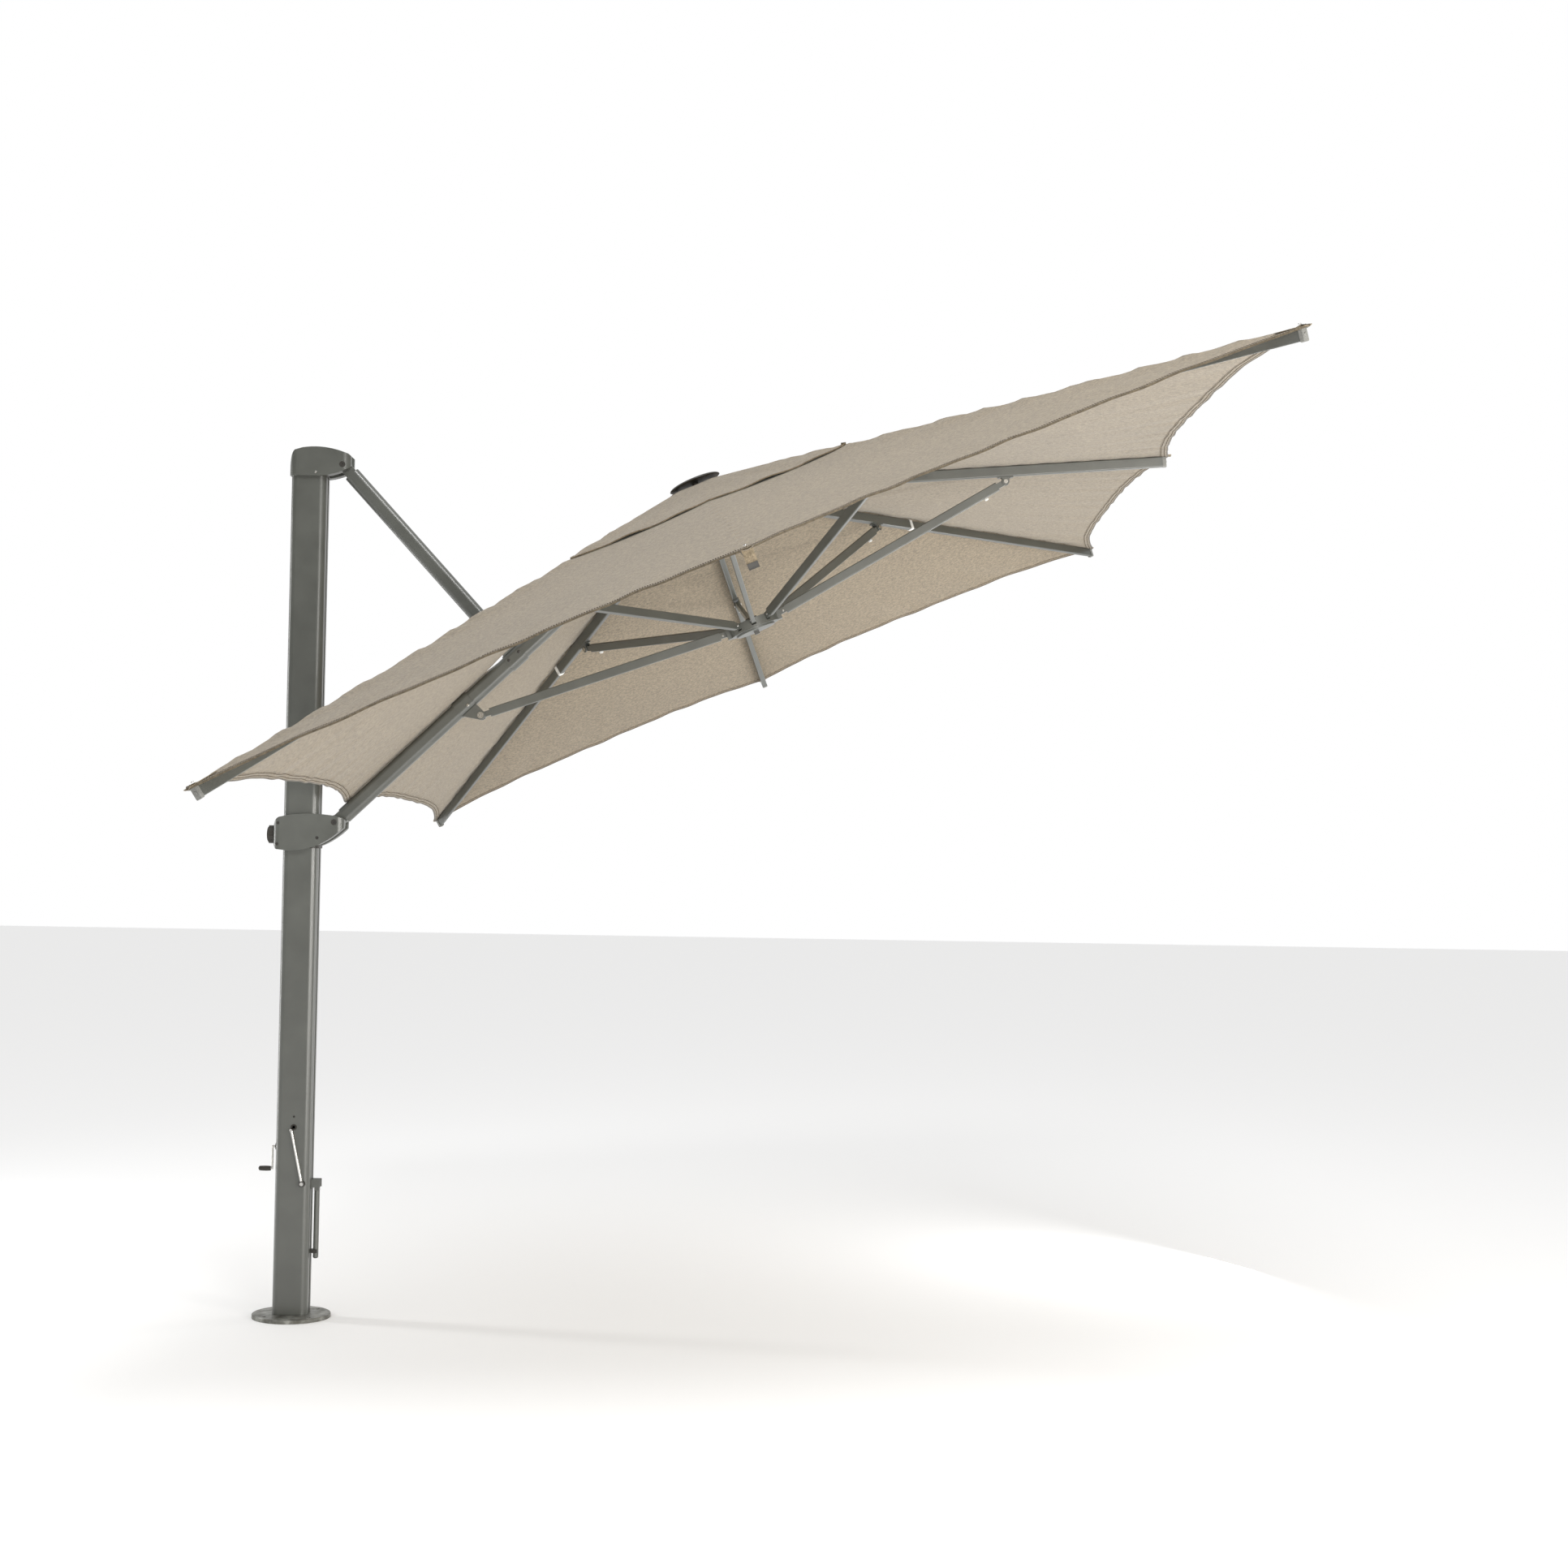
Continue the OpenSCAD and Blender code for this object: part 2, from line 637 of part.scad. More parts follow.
// Closed skin between u0 and u1, lift above the cloth lines; the middle is left open
module skin(u0, u1, rows, columns, lift, thick) {
    around = 8 * columns;
    ring = [for (top = [1, 0], j = [0 : rows]) for (i = [0 : around - 1])
        let (u = u0 + (u1 - u0) * j / rows, p = gore_point(floor(i / columns), (i % columns) / columns, u))
        [p[0], p[1], p[2] + lift + top * thick]];
    below = (rows + 1) * around;
    function q(a, b, c, d) = [[a, b, c], [a, c, d]];
    sheets = [for (j = [0 : rows - 1], i = [0 : around - 1]) let (n = (i + 1) % around, a = j * around)
        each concat(q(a + i, a + n, a + around + n, a + around + i),
            q(below + a + i, below + a + around + i, below + a + around + n, below + a + n))];
    edges = [for (i = [0 : around - 1]) let (n = (i + 1) % around, e = rows * around)
        each concat(q(i, below + i, below + n, n), q(e + i, e + n, below + e + n, below + e + i))];
    polyhedron([for (p = ring) p], concat(sheets, edges), convexity = 6);
}

vent_hole = 0.17;
slit_from = 715;
module canopy() {
    color(cloth) in_hub() difference() {
        skin(vent_hole, 1, 10, 8, 0, cloth_t);
        // slit over the arm, from the hem to the shoulder bracket
        rotate([0, 0, 180]) translate([slit_from, -32, -900]) cube([1000, 64, 1000]);
    }
}

module vent_flap() color(cloth) in_hub() skin(0.005, vent_share, 5, 4, vent_lift, cloth_t);

// ---- ribs and their fittings ----

// A rib: inner end with its eye, tube and tip cap. Corner ribs step down in size beyond the collar.
module rib(az, slope, len, corner) {
    color(frame_colour) in_rib(az, slope) {
        eye_end(24, slot_w - 2 * gap, 26, hub_pin_d + 2 * fit, rib_w - 4.2, rib_h - 4.2, 2, 30);
        tube_x(24, corner ? collar_x : len - 12, rib_w, rib_h, 4, 2);
        if (corner) tube_x(collar_x - 60, len - 12, rib_w - 4.4, rib_h - 4.4, 3, 2);
    }
    color(dark) in_rib(az, slope) bar_x(len - 12, len, rib_w + 1, rib_h + 1, 4);
}

// Half-round clevis under a rib at the strut pivot, its screw, and the white collar of a corner rib
module clevis(az, slope, along, corner) {
    half = stay_w / 2;
    color(frame_colour) in_rib(az, slope) difference() {
        union() {
            translate([along - 26, -half - 4, -rib_h / 2 - 4]) cube([52, 2 * half + 8, 4]);
            for (s = [-1, 1]) translate([along, 0, -stay_drop]) {
                rod_y(24, 3.4, s * (half + 2.3));
                translate([-12, s * (half + 2.3) - 1.7, 0]) cube([24, 3.4, stay_drop - rib_h / 2 - 1]);
            }
        }
        translate([along, 0, -stay_drop]) rod_y(hub_pin_d + 0.2, 40);
        translate([along - 17, -half - gap, -stay_drop - 20]) cube([34, 2 * half + 2 * gap, stay_drop - rib_h / 2 + 19]);
    }
    color(steel) in_rib(az, slope) translate([along, 0, -stay_drop]) {
        rod_y(hub_pin_d, 2 * half + 9);
        for (s = [-1, 1]) rod_y(14, 2, s * (half + 5.4));
    }
    if (corner) color("white") in_rib(az, slope) difference() {
        bar_x(collar_x + 0.2, collar_x + 14, rib_w + 4, rib_h + 4, 6);
        bar_x(collar_x - 1, collar_x + 20, rib_w - 4, rib_h - 4, 3.2);
    }
}

// A strut: eye at the rib's clevis, tube, eye at the lower hub. Open ones carry their own short pin there.
module stay(az, at, inner_r, open) {
    len = stay_len(at, inner_r);
    color(frame_colour) in_stay(az, at, inner_r) {
        difference() {
            union() {
                rod_y(20, stay_w - 2 * gap);
                translate([0, -stay_w / 2 + gap, -9]) cube([32, stay_w - 2 * gap, 18]);
                bar_x(32, len - 32, stay_w - 2 * gap, stay_h, 3);
                translate([len - 32, -stay_w / 2 + gap, -9]) cube([32, stay_w - 2 * gap, 18]);
                translate([len, 0, 0]) rod_y(20, stay_w - 2 * gap);
            }
            rod_y(hub_pin_d + 2 * fit, 30);
            if (!open) translate([len, 0, 0]) rod_y(hub_pin_d + 2 * fit, 30);
        }
    }
    if (open) color(steel) in_stay(az, at, inner_r) translate([len, 0, 0]) rod_y(hub_pin_d, open_slot_w - 1);
}

corner_len = rib_len(corner_reach, corner_drop);
front_len = rib_len(canopy_l / 2, front_drop);
side_len = rib_len(canopy_w / 2, side_drop);

module rib_front() rib(0, front_slope, front_len, false);
module rib_far_outer() rib(corner_az, corner_slope, corner_len, true);
module rib_far() rib(90, side_slope, side_len, false);
module rib_far_inner() rib(180 - corner_az, corner_slope, corner_len, true);
module rib_near_inner() rib(180 + corner_az, corner_slope, corner_len, true);
module rib_near() rib(270, side_slope, side_len, false);
module rib_near_outer() rib(360 - corner_az, corner_slope, corner_len, true);

module clevis_front() clevis(0, front_slope, front_pivot, false);
module clevis_far_outer() clevis(corner_az, corner_slope, corner_pivot, true);
module clevis_far() clevis(90, side_slope, side_pivot, false);
module clevis_far_inner() clevis(180 - corner_az, corner_slope, corner_pivot, true);
module clevis_near_inner() clevis(180 + corner_az, corner_slope, corner_pivot, true);
module clevis_near() clevis(270, side_slope, side_pivot, false);
module clevis_near_outer() clevis(360 - corner_az, corner_slope, corner_pivot, true);

module stay_front() stay(0, front_at, open_r, true);
module stay_far_outer() stay(corner_az, corner_at, hub_r, false);
module stay_far() stay(90, side_at, hub_r, true);
module stay_far_inner() stay(180 - corner_az, corner_at, hub_r, false);
module stay_arm() stay(180, arm_at, open_r, true);
module stay_near_inner() stay(180 + corner_az, corner_at, hub_r, false);
module stay_near() stay(270, side_at, hub_r, true);
module stay_near_outer() stay(360 - corner_az, corner_at, hub_r, false);

// Lower hub: a slotted ring on a round plate, open in the middle where the strut ends swing in
module lower_hub() {
    color(frame_colour) in_hub() translate([0, 0, -low_dip]) difference() {
        union() {
            difference() {
                translate([0, 0, -20]) cylinder(r = 86, h = 31, $fn = 96);
                translate([0, 0, -12]) cylinder(r = 60, h = 30, $fn = 96);
            }
            for (a = [0, 180]) rotate([0, 0, a]) translate([60, -16, -20]) cube([38, 32, 31]);
            translate([0, 0, -26]) cylinder(r = 68, h = 7, $fn = 96);
        }
        for (k = [0 : 7]) rotate([0, 0, azimuths[k]]) {
            w = k % 2 == 1 ? slot_w + 1 : open_slot_w;
            translate([40, -w / 2, -12]) cube([80, w, 40]);
            if (k % 2 == 1) translate([hub_r, 0, 0]) rod_y(hub_pin_d + 2 * fit, 30.4);
        }
        translate([0, 0, -30]) cylinder(d = 10.2, h = 30);
    }
}

module lower_hub_pins() {
    color(steel) in_hub() for (k = [1 : 2 : 7]) rotate([0, 0, azimuths[k]])
        translate([hub_r, 0, -low_dip]) rod_y(hub_pin_d, 30);
}

// Square-headed bolt under the lower hub, with its nut inside the ring
module hub_bolt() {
    color(dark) in_hub() translate([0, 0, -low_dip]) {
        translate([-9, -9, -38]) cube([18, 18, 11.8]);
        translate([0, 0, -38]) cylinder(d = 10, h = 31);
        translate([0, 0, -11.8]) cylinder(d = 18, h = 6, $fn = 6);
    }
}

base_plate();
base_spigot();
mast_tube();
lower_bush();
upper_bush();
head_cap_near();
head_cap_far();
head_pin();
winch_housing();
mast_fittings();
lever_bracket();
winch_shaft();
winch_crank();
rear_crank();
rear_crank_grip();
turning_lever();
mast_strut();
mast_strut_ends();
arm_tube();
arm_foot();
arm_tongue();
inner_bracket();
outer_bracket();
arm_pins();
carriage_near();
carriage_far();
carriage_pin();
carriage_pads();
carriage_screws();
lock_knob();
top_hub();
hub_pins();
finial();
canopy();
vent_flap();
rib_front();
rib_far_outer();
rib_far();
rib_far_inner();
rib_near_inner();
rib_near();
rib_near_outer();
clevis_front();
clevis_far_outer();
clevis_far();
clevis_far_inner();
clevis_near_inner();
clevis_near();
clevis_near_outer();
stay_front();
stay_far_outer();
stay_far();
stay_far_inner();
stay_arm();
stay_near_inner();
stay_near();
stay_near_outer();
lower_hub();
lower_hub_pins();
hub_bolt();
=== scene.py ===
"""Looks for the cantilever parasol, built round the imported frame. Metres, origin under the base plate."""
import json
import math

import bmesh
import bpy
import numpy as np
from mathutils import Matrix, Vector


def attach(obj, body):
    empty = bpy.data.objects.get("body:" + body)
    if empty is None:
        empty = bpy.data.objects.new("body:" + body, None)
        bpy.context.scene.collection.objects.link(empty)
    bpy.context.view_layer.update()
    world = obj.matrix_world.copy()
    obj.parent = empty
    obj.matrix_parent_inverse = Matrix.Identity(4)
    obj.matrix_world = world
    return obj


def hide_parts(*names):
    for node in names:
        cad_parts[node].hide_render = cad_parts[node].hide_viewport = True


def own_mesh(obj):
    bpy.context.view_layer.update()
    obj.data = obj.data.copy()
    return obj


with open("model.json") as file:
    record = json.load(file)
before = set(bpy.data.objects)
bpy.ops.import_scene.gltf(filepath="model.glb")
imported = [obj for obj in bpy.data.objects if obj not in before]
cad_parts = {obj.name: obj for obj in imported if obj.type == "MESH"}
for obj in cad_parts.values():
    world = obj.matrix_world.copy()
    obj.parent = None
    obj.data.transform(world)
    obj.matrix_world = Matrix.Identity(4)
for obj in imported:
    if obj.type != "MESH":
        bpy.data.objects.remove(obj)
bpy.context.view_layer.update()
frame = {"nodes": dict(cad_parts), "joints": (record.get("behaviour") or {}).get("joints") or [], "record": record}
nodes = frame["nodes"]
joints = {joint["name"]: joint for joint in frame["joints"]}
scene = bpy.context.scene


# ---- camera ----

CAMERA_AT = (1.6231, -7.6544, 1.5347)
CAMERA_TURN = (-0.0428, 2.0366, 0.9284)     # yaw from +Y, pitch and roll in degrees
CAMERA_LENS = 52.21


def add_camera():
    """The photograph's viewpoint: almost level, on the side of the winch crank."""
    yaw, pitch, roll = (math.radians(a) for a in CAMERA_TURN)
    forward = Vector((math.sin(yaw) * math.cos(pitch), math.cos(yaw) * math.cos(pitch), math.sin(pitch)))
    right = Vector((math.cos(yaw), -math.sin(yaw), 0))
    up = right.cross(forward)
    right_rolled = right * math.cos(roll) + up * math.sin(roll)
    up_rolled = up * math.cos(roll) - right * math.sin(roll)
    turn = Matrix((right_rolled, up_rolled, -forward)).transposed().to_4x4()
    data = bpy.data.cameras.new("camera")
    data.sensor_width = 36
    data.lens = CAMERA_LENS
    data.clip_end = 60
    camera = bpy.data.objects.new("camera", data)
    camera.matrix_world = Matrix.Translation(CAMERA_AT) @ turn
    scene.collection.objects.link(camera)
    scene.camera = camera


add_camera()


# ---- materials ----

def material(name, colour, roughness=0.5, metallic=0.0):
    """A principled material; returns it with its node tree and shader."""
    mat = bpy.data.materials.new(name)
    mat.use_nodes = True
    shader = mat.node_tree.nodes["Principled BSDF"]
    shader.inputs["Base Color"].default_value = (*colour, 1)
    shader.inputs["Roughness"].default_value = roughness
    shader.inputs["Metallic"].default_value = metallic
    return mat, mat.node_tree, shader


def place(tree, scale=(1, 1, 1)):
    """Object coordinates, which are the row frame's metres, stretched by scale."""
    coordinates = tree.nodes.new("ShaderNodeTexCoord")
    mapping = tree.nodes.new("ShaderNodeMapping")
    mapping.inputs["Scale"].default_value = scale
    tree.links.new(coordinates.outputs["Object"], mapping.inputs["Vector"])
    return mapping.outputs["Vector"]


def noise(tree, vector, scale, detail=4.0, roughness=0.55):
    """Fractal noise from 0 to 1; scale is in cycles per metre."""
    node = tree.nodes.new("ShaderNodeTexNoise")
    node.inputs["Scale"].default_value = scale
    node.inputs["Detail"].default_value = detail
    node.inputs["Roughness"].default_value = roughness
    tree.links.new(vector, node.inputs["Vector"])
    return node.outputs["Fac"]


def ramp(tree, value, stops):
    """A colour ramp through (position, colour) stops."""
    node = tree.nodes.new("ShaderNodeValToRGB")
    elements = node.color_ramp.elements
    while len(elements) < len(stops):
        elements.new(0.5)
    for element, (position, colour) in zip(elements, stops):
        element.position = position
        element.color = (*colour, 1)
    tree.links.new(value, node.inputs["Fac"])
    return node.outputs["Color"]


def mix(tree, factor, a, b, blend="MIX"):
    """Mixes two colours; factor may be a number or a socket."""
    node = tree.nodes.new("ShaderNodeMix")
    node.data_type = "RGBA"
    node.blend_type = blend
    for value, socket in ((factor, node.inputs[0]), (a, node.inputs[6]), (b, node.inputs[7])):
        if isinstance(value, bpy.types.NodeSocket):
            tree.links.new(value, socket)
        elif isinstance(value, tuple):
            socket.default_value = (*value, 1)
        else:
            socket.default_value = value
    return node.outputs[2]


def spread(tree, value, low, high):
    """Maps 0..1 to low..high."""
    node = tree.nodes.new("ShaderNodeMapRange")
    node.inputs["To Min"].default_value = low
    node.inputs["To Max"].default_value = high
    tree.links.new(value, node.inputs["Value"])
    return node.outputs["Result"]


def bump(tree, shader, height, strength, distance):
    """Raises the shader's surface by height, distance in metres."""
    node = tree.nodes.new("ShaderNodeBump")
    node.inputs["Strength"].default_value = strength
    node.inputs["Distance"].default_value = distance
    tree.links.new(height, node.inputs["Height"])
    tree.links.new(node.outputs["Normal"], shader.inputs["Normal"])


def powder_coat(name, colour, roughness=0.34):
    """Satin powder coat: a fine orange peel and slight clouding."""
    mat, tree, shader = material(name, colour, roughness)
    vector = place(tree)
    cloud = noise(tree, vector, 9, 3)
    darker = tuple(c * 0.90 for c in colour)
    lighter = tuple(c * 1.08 for c in colour)
    tint = ramp(tree, cloud, [(0.35, darker), (0.68, lighter)])
    tree.links.new(tint, shader.inputs["Base Color"])
    tree.links.new(spread(tree, cloud, roughness - 0.06, roughness + 0.08), shader.inputs["Roughness"])
    bump(tree, shader, noise(tree, vector, 420, 2), 0.006, 0.0003)
    shader.inputs["Specular IOR Level"].default_value = 0.9
    shader.inputs["Coat Weight"].default_value = 0.12
    shader.inputs["Coat Roughness"].default_value = 0.30
    return mat


def galvanised(name):
    """Hot-dip zinc: large dull spangles over a mottled grey."""
    mat, tree, shader = material(name, (0.20, 0.20, 0.18), 0.5, 0.55)
    vector = place(tree)
    spangle = tree.nodes.new("ShaderNodeTexVoronoi")
    spangle.inputs["Scale"].default_value = 55
    tree.links.new(vector, spangle.inputs["Vector"])
    tint = ramp(tree, noise(tree, vector, 30, 6), [(0.30, (0.075, 0.07, 0.055)), (0.52, (0.19, 0.19, 0.17)),
                                                  (0.72, (0.36, 0.36, 0.33))])
    grain = ramp(tree, spangle.outputs["Distance"], [(0.1, (0.3, 0.3, 0.3)), (0.9, (0.75, 0.75, 0.75))])
    tint = mix(tree, 0.35, tint, grain, "SOFT_LIGHT")
    tree.links.new(tint, shader.inputs["Base Color"])
    tree.links.new(spread(tree, spangle.outputs["Distance"], 0.35, 0.62), shader.inputs["Roughness"])
    bump(tree, shader, noise(tree, vector, 80, 5), 0.25, 0.0008)
    return mat


def bright_steel(name, colour=(0.62, 0.61, 0.58), roughness=0.22):
    """Plated steel with fine drawing marks."""
    mat, tree, shader = material(name, colour, roughness, 1.0)
    vector = place(tree, (1, 1, 6))
    marks = noise(tree, vector, 260, 3)
    tree.links.new(spread(tree, marks, roughness - 0.05, roughness + 0.14), shader.inputs["Roughness"])
    tint = ramp(tree, noise(tree, vector, 40, 4), [(0.3, tuple(c * 0.82 for c in colour)), (0.7, colour)])
    tree.links.new(tint, shader.inputs["Base Color"])
    bump(tree, shader, marks, 0.06, 0.0003)
    return mat


def moulded(name, colour, roughness=0.45, grain=420):
    """Moulded plastic with a spark-eroded grain."""
    mat, tree, shader = material(name, colour, roughness)
    vector = place(tree)
    grainy = noise(tree, vector, grain, 3)
    tint = ramp(tree, noise(tree, vector, 24, 4), [(0.3, tuple(c * 0.8 for c in colour)),
                                                  (0.7, tuple(min(1, c * 1.25) for c in colour))])
    tree.links.new(tint, shader.inputs["Base Color"])
    tree.links.new(spread(tree, grainy, roughness - 0.08, roughness + 0.12), shader.inputs["Roughness"])
    bump(tree, shader, grainy, 0.18, 0.0004)
    return mat


CLOTH = (0.236, 0.190, 0.127)


def woven(name, shade=1.0):
    """Solution-dyed canopy cloth: a slub mottle over a fine plain weave, with a soft sheen."""
    base = tuple(c * shade for c in CLOTH)
    mat, tree, shader = material(name, base, 0.86)
    vector = place(tree)
    slub = noise(tree, vector, 92, 5, 0.72)
    pale = tuple(min(1, c * 1.42) for c in base)
    dim = tuple(c * 0.62 for c in base)
    tint = ramp(tree, slub, [(0.40, dim), (0.50, base), (0.60, pale)])
    fleck = noise(tree, vector, 240, 2, 0.5)
    tint = mix(tree, 0.35, tint, ramp(tree, fleck, [(0.36, dim), (0.64, pale)]))
    broad = noise(tree, vector, 2.2, 3)
    tint = mix(tree, 0.6, tint, ramp(tree, broad, [(0.35, (0.90, 0.90, 0.90)), (0.65, (1, 1, 1))]), "MULTIPLY")
    tree.links.new(tint, shader.inputs["Base Color"])
    threads = tree.nodes.new("ShaderNodeMath")
    threads.operation = "ADD"
    for socket, stretch in zip(threads.inputs, ((1, 0.25, 1), (0.25, 1, 1))):
        tree.links.new(noise(tree, place(tree, stretch), 620, 2), socket)
    bump(tree, shader, threads.outputs[0], 0.35, 0.0010)
    shader.inputs["Sheen Weight"].default_value = 0.25
    shader.inputs["Sheen Roughness"].default_value = 0.5
    shader.inputs["Specular IOR Level"].default_value = 0.25
    return mat


FRAME = (0.088, 0.092, 0.081)
coat = powder_coat("powder_coat", FRAME)
zinc = galvanised("galvanised")
steel = bright_steel("plated_steel")
black_steel = powder_coat("black_steel", (0.028, 0.025, 0.020), 0.35)
black_plastic = moulded("black_plastic", (0.026, 0.023, 0.018), 0.42)
white_plastic = moulded("white_plastic", (0.72, 0.72, 0.70), 0.40)
cloth = woven("canopy_cloth")
hem_cloth = woven("hem_cloth", shade=0.93)
# the cloth darkened to 0.42: painted shade for the crease along the hem
hem_crease_shade = woven("hem_crease_shade", shade=0.42)
thread = moulded("thread", (0.085, 0.065, 0.04), 0.85, 900)
tip_plastic = moulded("tip_plastic", (0.22, 0.22, 0.205), 0.38)
BY_SLOT = {"frame": coat, "zinc": zinc, "steel": steel, "black_steel": black_steel,
           "black_plastic": black_plastic, "white_plastic": white_plastic, "cloth": cloth}
for row in frame["record"]["subparts"]:
    node = nodes[row["node"]]
    node.data.materials.clear()
    node.data.materials.append(BY_SLOT[row["material_slot"]])


# ---- mesh helpers ----

def add_mesh(name, vertices, faces, mat, sharp=None, body=None):
    """Makes a mesh object; sharp is the angle in degrees above which an edge stays crisp."""
    mesh = bpy.data.meshes.new(name)
    mesh.from_pydata([tuple(v) for v in vertices], [], faces)
    mesh.materials.append(mat)
    mesh.update()
    mesh.shade_smooth()
    if sharp is not None:
        mesh.set_sharp_from_angle(angle=math.radians(sharp))
    piece = bpy.data.objects.new(name, mesh)
    scene.collection.objects.link(piece)
    if body:
        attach(piece, body)
    return piece


def basis(origin, axis, side=None):
    """A 4x4 matrix at origin whose Z is axis and whose X is as near as it can be to side."""
    z = Vector(axis).normalized()
    hint = Vector(side) if side is not None else (Vector((1, 0, 0)) if abs(z.x) < 0.9 else Vector((0, 1, 0)))
    x = (hint - z * hint.dot(z)).normalized()
    y = z.cross(x)
    turn = Matrix((x, y, z)).transposed().to_4x4()
    return Matrix.Translation(origin) @ turn


def ring(radius, height, matrix, steps, shape=lambda a: 1.0):
    """Points of a ring round the matrix's Z; shape changes the radius with the angle."""
    points = []
    for k in range(steps):
        a = 2 * math.pi * k / steps
        r = radius * shape(a)
        points.append(matrix @ Vector((r * math.cos(a), r * math.sin(a), height)))
    return points


def ring_faces(count, steps):
    """Faces between count rings of steps points, with both ends closed."""
    faces = []
    for level in range(count - 1):
        for k in range(steps):
            n = (k + 1) % steps
            faces.append((level * steps + k, level * steps + n, (level + 1) * steps + n, (level + 1) * steps + k))
    faces.append(tuple(reversed(range(steps))))
    faces.append(tuple((count - 1) * steps + k for k in range(steps)))
    return faces


def lathe(name, profile, matrix, mat, body, steps=40, sharp=35):
    """A turned piece: profile is (radius, height) pairs from bottom to top, closed at both ends."""
    vertices = []
    for radius, height in profile:
        vertices += ring(radius, height, matrix, steps)
    return add_mesh(name, vertices, ring_faces(len(profile), steps), mat, sharp, body)


def hexagon(a):
    """Distance of a hexagon's side at angle a, for corners at distance 1."""
    return math.cos(math.pi / 6) / math.cos((a % (math.pi / 3)) - math.pi / 6)


def socket_screw(name, place_at, axis, body, radius=0.005, side=None, mat=None, height=0.0022):
    """A button-head screw: a domed rim and a real hexagon socket sunk into it."""
    matrix = basis(place_at, axis, side)
    steps = 24
    dome = [(1.0, 0), (1.0, 0.5), (0.9, 0.85), (0.7, 1.0), (0.52, 1.0)]
    vertices = []
    for wide, high in dome:
        vertices += ring(radius * wide, height * high, matrix, steps)
    for high in (1.0, 0.15):
        vertices += ring(radius * 0.45, height * high, matrix, steps, hexagon)
    return add_mesh(name, vertices, ring_faces(len(dome) + 2, steps), mat or black_steel, 40, body)


def block(name, centre, axes, size, mat, body, edge=0.0006):
    """A small box with rounded edges; axes are three unit vectors and size its full lengths."""
    work = bmesh.new()
    bmesh.ops.create_cube(work, size=1)
    for vertex in work.verts:
        local = [vertex.co[i] * size[i] for i in range(3)]
        vertex.co = centre + axes[0] * local[0] + axes[1] * local[1] + axes[2] * local[2]
    bmesh.ops.bevel(work, geom=work.edges[:], offset=edge, segments=2, affect="EDGES")
    mesh = bpy.data.meshes.new(name)
    work.to_mesh(mesh)
    work.free()
    mesh.materials.append(mat)
    mesh.shade_smooth()
    mesh.set_sharp_from_angle(angle=math.radians(40))
    piece = bpy.data.objects.new(name, mesh)
    scene.collection.objects.link(piece)
    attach(piece, body)
    return piece


def paint(node, mat, chosen):
    """Gives the faces of a CAD node that chosen(points) accepts another material; the mesh stays as it is."""
    mesh = nodes[node].data
    turn = nodes[node].matrix_world
    points = [turn @ vertex.co for vertex in mesh.vertices]
    mesh.materials.append(mat)
    for polygon in mesh.polygons:
        if chosen([points[v] for v in polygon.vertices]):
            polygon.material_index = len(mesh.materials) - 1


# ---- the hub frame and the cloth's own surface ----

TILT = math.radians(23.5)
APEX = Vector((1.311, 0, 2.793))
EX = Vector((math.cos(TILT), 0, math.sin(TILT)))
EY = Vector((0, 1, 0))
EZ = Vector((-math.sin(TILT), 0, math.cos(TILT)))
HALF_L, HALF_W = 1.5, 2.0
HUB_R, HUB_DIP = 0.075, 0.022
CORNER_R = math.hypot(HALF_L, HALF_W)
CORNER_A = math.degrees(math.atan2(HALF_W, HALF_L))
LOW_HUB_DROP = 0.48667      # from the canopy's peak down to the middle of the lower hub
ARM_FOOT, ARM_TOP = joints["carriage_pivot"]["pos_m"], joints["canopy_fold"]["pos_m"]
ARM_SLOPE = math.atan2(ARM_TOP[2] - ARM_FOOT[2], ARM_TOP[0] - ARM_FOOT[0]) - TILT
OVER_RIB, OVER_SIDE, OVER_ARM = 0.0237, 0.0200, 0.034
CLOTH_T = 0.0022
TIP_OVER = 0.022    # how far the cloth runs past the end of a rib

# name of the rib, azimuth, reach of its tip, drop of its tip, cloth's height over the rib's line
LINES = [("front", 0, HALF_L, 0.515, OVER_SIDE), ("far_outer", CORNER_A, CORNER_R, 0.552, OVER_RIB),
         ("far", 90, HALF_W, 0.533, OVER_SIDE), ("far_inner", 180 - CORNER_A, CORNER_R, 0.552, OVER_RIB),
         ("arm", 180, HALF_L, HUB_DIP + (HALF_L - HUB_R) * math.tan(ARM_SLOPE), OVER_ARM),
         ("near_inner", 180 + CORNER_A, CORNER_R, 0.552, OVER_RIB), ("near", 270, HALF_W, 0.533, OVER_SIDE),
         ("near_outer", 360 - CORNER_A, CORNER_R, 0.552, OVER_RIB)]
CORNERS = (1, 3, 5, 7)
NEAR = 6
BODY_OF = {k: ("arm" if name == "arm" else f"rib_{name}_body") for k, (name, *_rest) in enumerate(LINES)}


def to_world(u, v, w):
    """A point of the hub frame in metres of the shared frame."""
    return APEX + EX * u + EY * v + EZ * w


def turned(p):
    """A direction of the hub frame, turned into the shared frame."""
    return EX * p.x + EY * p.y + EZ * p.z


def line_point(k, share):
    """A point over rib line k in the hub frame, share of the way from the middle to the tip."""
    _name, azimuth, reach, drop, over = LINES[k % 8]
    a = math.radians(azimuth)
    full = reach + TIP_OVER * (0.6 if k % 8 not in CORNERS else 1.0) * (0 if k % 8 == 4 else 1)
    r = 0.06 + share * (full - 0.06)
    if k % 8 in CORNERS:    # past the collar the rib is slimmer
        over -= 0.0042 * min(1.0, max(0.0, (r - 1.25) / 0.25))
    fall = (drop - HUB_DIP) * max(0.0, (r - HUB_R) / (reach - HUB_R))
    return Vector((r * math.cos(a), r * math.sin(a), over - HUB_DIP - fall))


